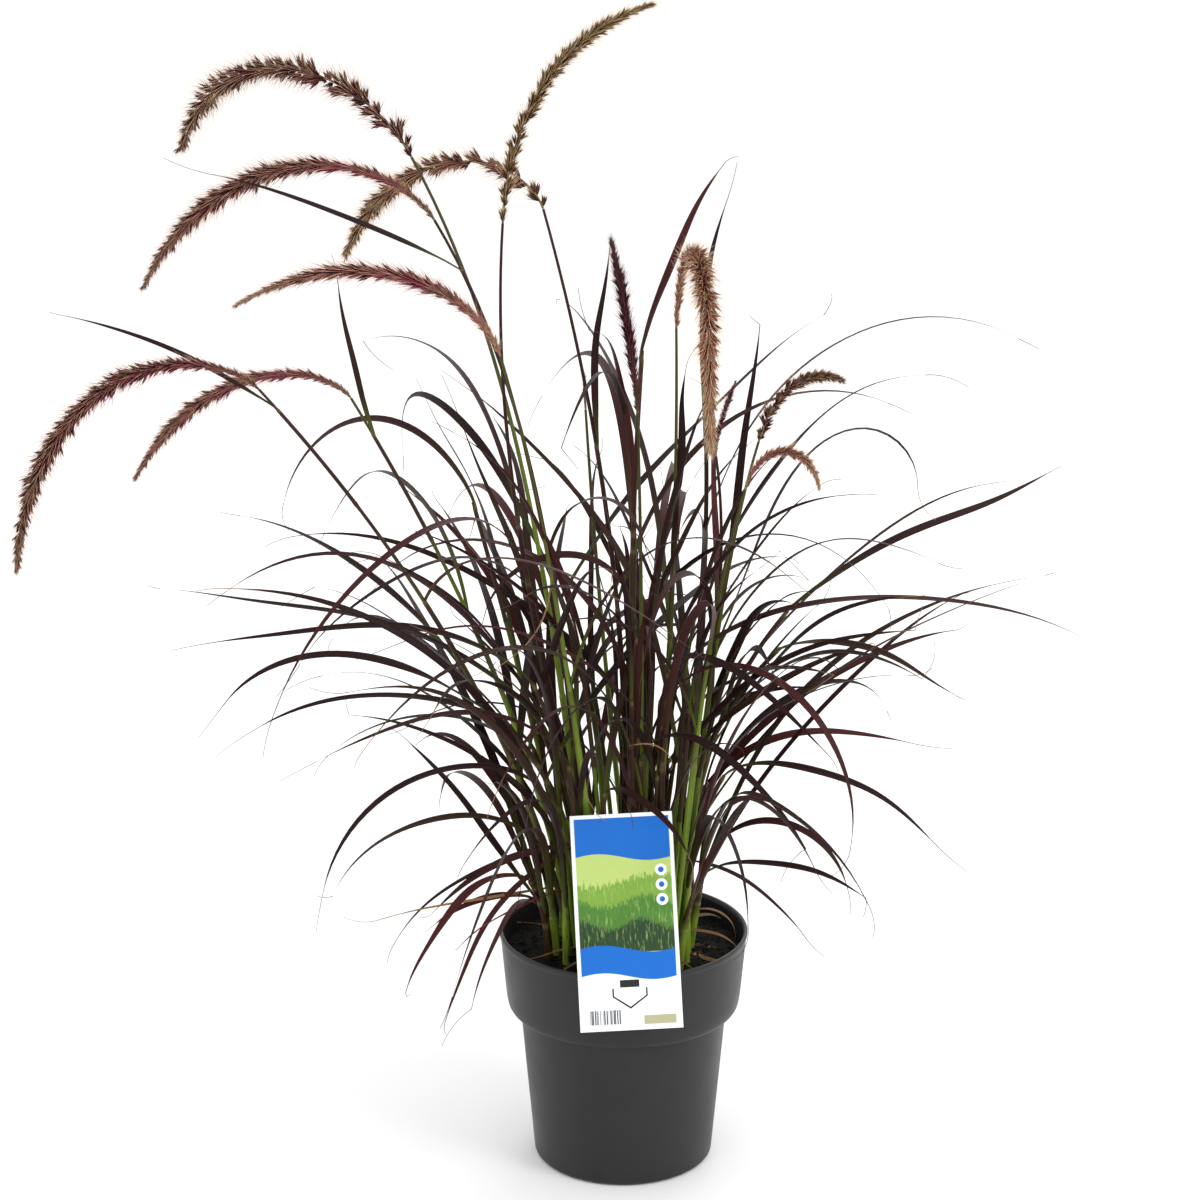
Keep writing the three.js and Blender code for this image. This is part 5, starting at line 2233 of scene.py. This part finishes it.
@dataclass
class PlantCard:
    """The card on the rim: a thin sheet with a slot, a tongue and a plain print.

    Attributes:
        slot: Width and height of the slot.
        tongue: Width, shoulder, point and drop of the tongue under the slot.
        tongue_ahead: How far the tongue lies in front of the card's middle.
        tongue_thickness: Thickness of the tongue.
        slit: Width of the slit round the tongue.
        step: Size of the card's grid.
        belly: How far the card bows forward in its middle.
    """

    slot: Spot = (15.0, 5.6)
    tongue: tuple[float, float, float, float] = (25.0, 6.0, 14.5, 3.4)
    tongue_ahead: float = 0.7
    tongue_thickness: float = 0.5
    slit: float = 1.2
    step: float = 4.0
    belly: float = 0.6

    def build(self, material: Material) -> Object:
        """Builds the card.

        Args:
            material: Its finish.

        Returns:
            Its piece.
        """
        width, height = self.slot
        half = CARD.width / 2
        columns = self._ticks(-half, half, -width / 2, width / 2)
        rows = self._ticks(-CARD.below, CARD.above, -height / 2, height / 2)
        corners = [(x, 0.0, z) for z in rows for x in columns]
        faces, across = [], len(columns)
        for j in range(len(rows) - 1):
            for i in range(across - 1):
                if abs(columns[i] + columns[i + 1]) >= width or abs(rows[j] + rows[j + 1]) >= height:
                    first = j * across + i
                    faces.append((first, first + 1, first + across + 1, first + across))
        sheet = self._slit(self._sheet("card_sheet", corners, faces, CARD.thickness, material), material)
        outline = self._tongue_outline(0.0, self.tongue_ahead)
        tongue = self._sheet("card_tongue", outline, [(0, 1, 2, 3, 4)], self.tongue_thickness, material)
        return joined(sheet, tongue, "plant_card")

    def _tongue_outline(self, grow: float, ahead: float) -> list[tuple[float, float, float]]:
        """Returns the corners of the tongue, in millimetres on the flat card.

        Args:
            grow: How far its sides are moved outwards.
            ahead: How far it lies in front of the card's middle.

        Returns:
            The corners.
        """
        wide, shoulder, point, drop = self.tongue
        half, low, tip = wide / 2 + grow, drop + shoulder + grow / 2, drop + point + 1.4 * grow
        spots = ((-half, drop), (half, drop), (half, low), (0.0, tip), (-half, low))
        return [(x, -ahead, -z) for x, z in spots]

    def _slit(self, sheet: Object, material: Material) -> Object:
        """Cuts the slit that runs round the sides and the point of the tongue.

        Args:
            sheet: The card.
            material: Its finish.

        Returns:
            The card with its slit.
        """
        outer, inner = self._tongue_outline(self.slit, 4.0), self._tongue_outline(0.0, 4.0)
        ring = [*outer[1:], outer[0], inner[0], *inner[:0:-1]]
        place = CARD.matrix()
        front, back = ([place @ Vector((x, side * y, z)) * MM for x, y, z in ring] for side in (1, -1))
        count = len(ring)
        faces = [tuple(range(count)), tuple(range(2 * count - 1, count - 1, -1))]
        faces += [(i, (i + 1) % count, count + (i + 1) % count, count + i) for i in range(count)]
        return carved(sheet, mesh_object("tongue_cutter", front + back, faces, material), "card_sheet_cut")

    def _ticks(self, low: float, high: float, *cuts: float) -> list[float]:
        """Spaces grid lines.

        Args:
            low: First line.
            high: Last line.
            *cuts: Lines that have to be among them.

        Returns:
            All lines.
        """
        stops = [low, *cuts, high]
        ticks: list[float] = []
        for start, end in zip(stops, stops[1:]):
            count = max(1, round((end - start) / self.step))
            ticks += [start + (end - start) * k / count for k in range(count)]
        return [*ticks, high]

    def _sheet(self, name: str, corners: Sequence, faces: Sequence, thickness: float,
               material: Material) -> Object:
        """Makes a flat outline a thin sheet with soft edges, hung at its place.

        Args:
            name: Name of the sheet.
            corners: Corners of its face, in millimetres.
            faces: Its faces.
            thickness: Its thickness.
            material: Its finish.

        Returns:
            The sheet.
        """
        place = CARD.matrix()
        height = CARD.above + CARD.below
        uvs = [((x + CARD.width / 2) / CARD.width, (z + CARD.below) / height) for x, _, z in corners]
        bowed = [Vector((x, y - self.belly * (1 - (x * 2 / CARD.width) ** 2), z)) for x, y, z in corners]
        mesh = bpy.data.meshes.new(name)
        mesh.from_pydata([tuple(place @ c * MM) for c in bowed], [], faces)
        layer = mesh.uv_layers.new(name="card")
        for loop in mesh.loops:
            layer.data[loop.index].uv = uvs[loop.vertex_index]
        mesh.materials.append(material)
        made = linked(name, mesh)
        thick = made.modifiers.new("thickness", "SOLIDIFY")
        thick.thickness, thick.offset = thickness * MM, 0.0
        bevel = made.modifiers.new("edges", "BEVEL")
        bevel.width, bevel.segments, bevel.limit_method = 0.12 * MM, 2, "ANGLE"
        return applied(made, name)


class CardGraph(SurfaceGraph):
    """The card's material, with places in millimetres from the slot."""

    def __init__(self, name: str, soft: float) -> None:
        """Starts the material.

        Args:
            name: Its name.
            soft: Half the width of a printed edge.
        """
        super().__init__(name)
        self.soft = soft
        across, up, _ = self.parts(self.result("ShaderNodeUVMap", uv_map="card"))
        self.x = self.math("MULTIPLY_ADD", across, CARD.width, -CARD.width / 2)
        self.y = self.math("MULTIPLY_ADD", up, CARD.above + CARD.below, -CARD.below)

    def span(self, value: object, low: float, high: float) -> NodeSocket:
        """Returns 1 where a value lies between low and high, with soft ends."""
        rise = self.ramp(value, low - self.soft, low + self.soft)
        return self.times(rise, self.ramp(value, high - self.soft, high + self.soft, 1.0, 0.0))

    def box(self, left: float, right: float, low: float, high: float) -> NodeSocket:
        """Returns 1 inside a box."""
        return self.times(self.span(self.x, left, right), self.span(self.y, low, high))

    def wave(self, pace: float, height: float) -> NodeSocket:
        """Returns a wave across the card."""
        return self.times(self.math("SINE", self.times(self.x, pace)), height)

    def disc(self, at: Spot, radius: float) -> NodeSocket:
        """Makes a disc.

        Args:
            at: Its middle.
            radius: Its radius.

        Returns:
            1 inside the disc.
        """
        sides = [self.math("SUBTRACT", value, middle) for value, middle in zip((self.x, self.y), at)]
        away = self.math("SQRT", self.plus(*(self.times(side, side) for side in sides)))
        return self.ramp(away, radius - self.soft, radius + self.soft, 1.0, 0.0)


@dataclass(frozen=True)
class CardFinish:
    """White card with a plain print: blue head and foot, soft hills, round dots and a row of bars.

    Attributes:
        white: Colour of the card.
        blue: Colour of the head and the foot.
        sky: Colour over the hills.
        sand: Colour of the plain strip.
        ink: Colour of the bars.
        hills: Height, wave and colour of each hill, from the back to the front.
        print_ends: Left and right end of the print.
        dots: Where the middles of the white dots lie, in millimetres from the slot.
        dot_radii: Radius of a dot and of its middle.
        bars: Left, right, lower and upper end of the row of bars.
        strip: Left, right, lower and upper end of the plain strip.
        soft: Half the width of a printed edge.
    """

    white: Colour = srgb(240, 243, 244)
    blue: Colour = srgb(4, 103, 197)
    sky: Colour = srgb(186, 208, 118)
    sand: Colour = srgb(176, 174, 138)
    ink: Colour = srgb(30, 32, 36)
    hills: tuple[tuple[float, float, Colour], ...] = (
        (80.0, 0.07, srgb(122, 164, 62)),
        (64.0, 0.1, srgb(72, 124, 44)),
        (46.0, 0.13, srgb(30, 62, 30)),
    )
    print_ends: Spot = (-37.0, 37.0)
    dots: tuple[Spot, ...] = ((29.0, 87.0), (29.0, 75.5), (29.0, 64.0))
    dot_radii: Spot = (4.6, 2.2)
    bars: tuple[float, float, float, float] = (-33.0, -8.0, -31.0, -20.0)
    strip: tuple[float, float, float, float] = (10.0, 35.0, -32.0, -25.0)
    soft: float = 0.25

    def material(self) -> Material:
        """Builds the print.

        Returns:
            The material.
        """
        made = CardGraph("card_print", self.soft)
        inside = made.span(made.x, *self.print_ends)
        lifted = made.plus(made.y, made.wave(0.075, 3.2))
        blades = made.streaks((made.x, made.y), (0.55, 0.09), 1.0, 4.0)
        coats = []
        for height, pace, colour in self.hills:
            edge = made.math("SUBTRACT", made.y, made.wave(pace, 4.0))
            edge = made.math("SUBTRACT", edge, made.times(blades, 26.0))
            coats.append((made.span(edge, -200.0, height - 13.0), colour))
        field = made.coats(self.sky, *coats, (made.ramp(blades, 0.5, 0.75, 0.0, 0.5), self.sky))
        ends = made.plus(made.span(lifted, 98.0, 200.0), made.span(lifted, 5.5, 27.0))
        lines = made.ramp(made.streaks((made.x,), (1.1,)), 0.49, 0.51)
        dots = [(made.disc(at, radius), colour) for at in self.dots
                for radius, colour in zip(self.dot_radii, (self.white, self.blue))]
        face = made.coats(
            self.white,
            (made.times(inside, made.span(made.y, 24.0, 105.0)), field),
            *dots,
            (made.times(ends, inside, made.span(made.y, 0.0, 129.0)), self.blue),
            (made.box(*self.strip), self.sand),
            (made.times(made.box(*self.bars), lines), self.ink),
        )
        made.bump(made.noise(made.position(), 300.0, 2.0), 0.05, 0.0003)
        return made.surface(face, 0.35, 0.3)


@dataclass
class Studio:
    """Floor, light and camera.

    Attributes:
        floor_size: Side of the floor.
        floor_grey: Brightness of the floor.
        lights: Name, place, side and power of each soft light.
        target: What the lights look at.
        camera_at: Place of the camera.
        camera_pitch: How far it looks down, in degrees.
        lens: Focal length, in millimetres.
        sensor: Width of its sensor, in millimetres.
        background: Strength of the white surroundings.
    """

    floor_size: float = 60.0
    floor_grey: float = 0.93
    lights: tuple[tuple[str, tuple[float, float, float], float, float], ...] = (
        ("key", (2.2, -1.6, 2.2), 1.2, 34.0),
        ("fill", (-1.2, -2.8, 2.2), 1.8, 8.0),
        ("back", (0.8, 2.4, 2.4), 1.6, 16.0),
    )
    target: tuple[float, float, float] = (0.0, 0.0, 0.4)
    camera_at: tuple[float, float, float] = (-0.019, -2.350, 1.180)
    camera_pitch: float = 16.78
    lens: float = 94.0
    sensor: float = 36.0
    background: float = 1.12

    def build(self) -> None:
        """Builds the studio."""
        self._lay_floor()
        self._whiten_surroundings()
        for name, at, size, power in self.lights:
            light = bpy.data.lights.new(name, "AREA")
            light.energy, light.size = power, size
            made = linked(name, light)
            made.location = at
            made.rotation_euler = (Vector(self.target) - Vector(at)).to_track_quat("-Z", "Y").to_euler()
        self._set_up_camera()
        bpy.context.scene.view_settings.view_transform = "Standard"

    def _lay_floor(self) -> None:
        """Lays the pale floor."""
        material = SurfaceGraph("floor_paper").surface((self.floor_grey,) * 3, 0.95)
        half = self.floor_size / 2
        corners = [(-half, -half, 0), (half, -half, 0), (half, half, 0), (-half, half, 0)]
        mesh_object("floor", corners, [(0, 1, 2, 3)], material, smooth=False)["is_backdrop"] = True

    def _whiten_surroundings(self) -> None:
        """Makes the surroundings white."""
        world = bpy.data.worlds.new("studio")
        world.use_nodes = True
        sky = world.node_tree.nodes["Background"]
        sky.inputs["Color"].default_value = (1.0, 1.0, 1.0, 1.0)
        sky.inputs["Strength"].default_value = self.background
        bpy.context.scene.world = world

    def _set_up_camera(self) -> None:
        """Sets up the camera."""
        data = bpy.data.cameras.new("camera")
        data.lens, data.sensor_width = self.lens, self.sensor
        made = linked("camera", data)
        made.location = self.camera_at
        made.rotation_euler = (math.radians(90 - self.camera_pitch), 0, 0)
        bpy.context.scene.camera = made


def main() -> None:
    """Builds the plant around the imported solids."""
    logging.basicConfig(level=logging.INFO, format="%(name)s: %(message)s")
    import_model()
    solid_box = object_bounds()
    plan = GrowthPlan()

    pot = Pot()
    place_piece(pot.build(PotFinish().material()), "pot", "pot")
    place_piece(PottingMix(pot).build(MixFinish().material()), "potting_mix", "soil")
    place_piece(PlantCard().build(CardFinish().material()), "label", "label")

    room = np.array(solid_box) / MM
    strands = StrandMaker(StrandTree(), BladeFinish().material(), StemFinish().material(), Lots(7), room)
    for kind, grown in (("flower_stem", plan.culms), ("leafy_shoot", plan.shoots)):
        for number, strand in enumerate(grown, 1):
            place_piece(strands.make(strand, f"{kind}_{number:02d}"), "leaf_and_stem", strand.name)

    crown = Spines()
    for strand in CrownForm().grow():
        strands.add_strand(crown, strand)
    strands.add_leaves(crown, LOW_LEAVES)
    place_piece(strands.sweep(crown, "young_shoots"), "leaf_and_stem")

    dry, litter = replace(strands, blade_material=DryFinish().material(), lots=Lots(3)), Spines()
    dry.add_leaves(litter, DEAD_LEAVES)
    place_piece(dry.sweep(litter, "dead_leaves"), "leaf_and_stem")

    spikelet = Spikelet().build("spikelet")
    materials = {tint: finish.material() for tint, finish in PLUME_FINISHES.items()}
    plumes = PlumeMaker(PlumeTree(), spikelet, AxisFinish().material(), materials)
    for plume in plan.plumes:
        piece = plumes.make(plume, f"plume_head_{plume.number:02d}")
        place_piece(piece, PLUME_FINISHES[plume.form.tint].slot, f"plume_{plume.number:02d}")
    bpy.data.objects.remove(spikelet)

    Studio().build()


if __name__ == "__main__":
    main()
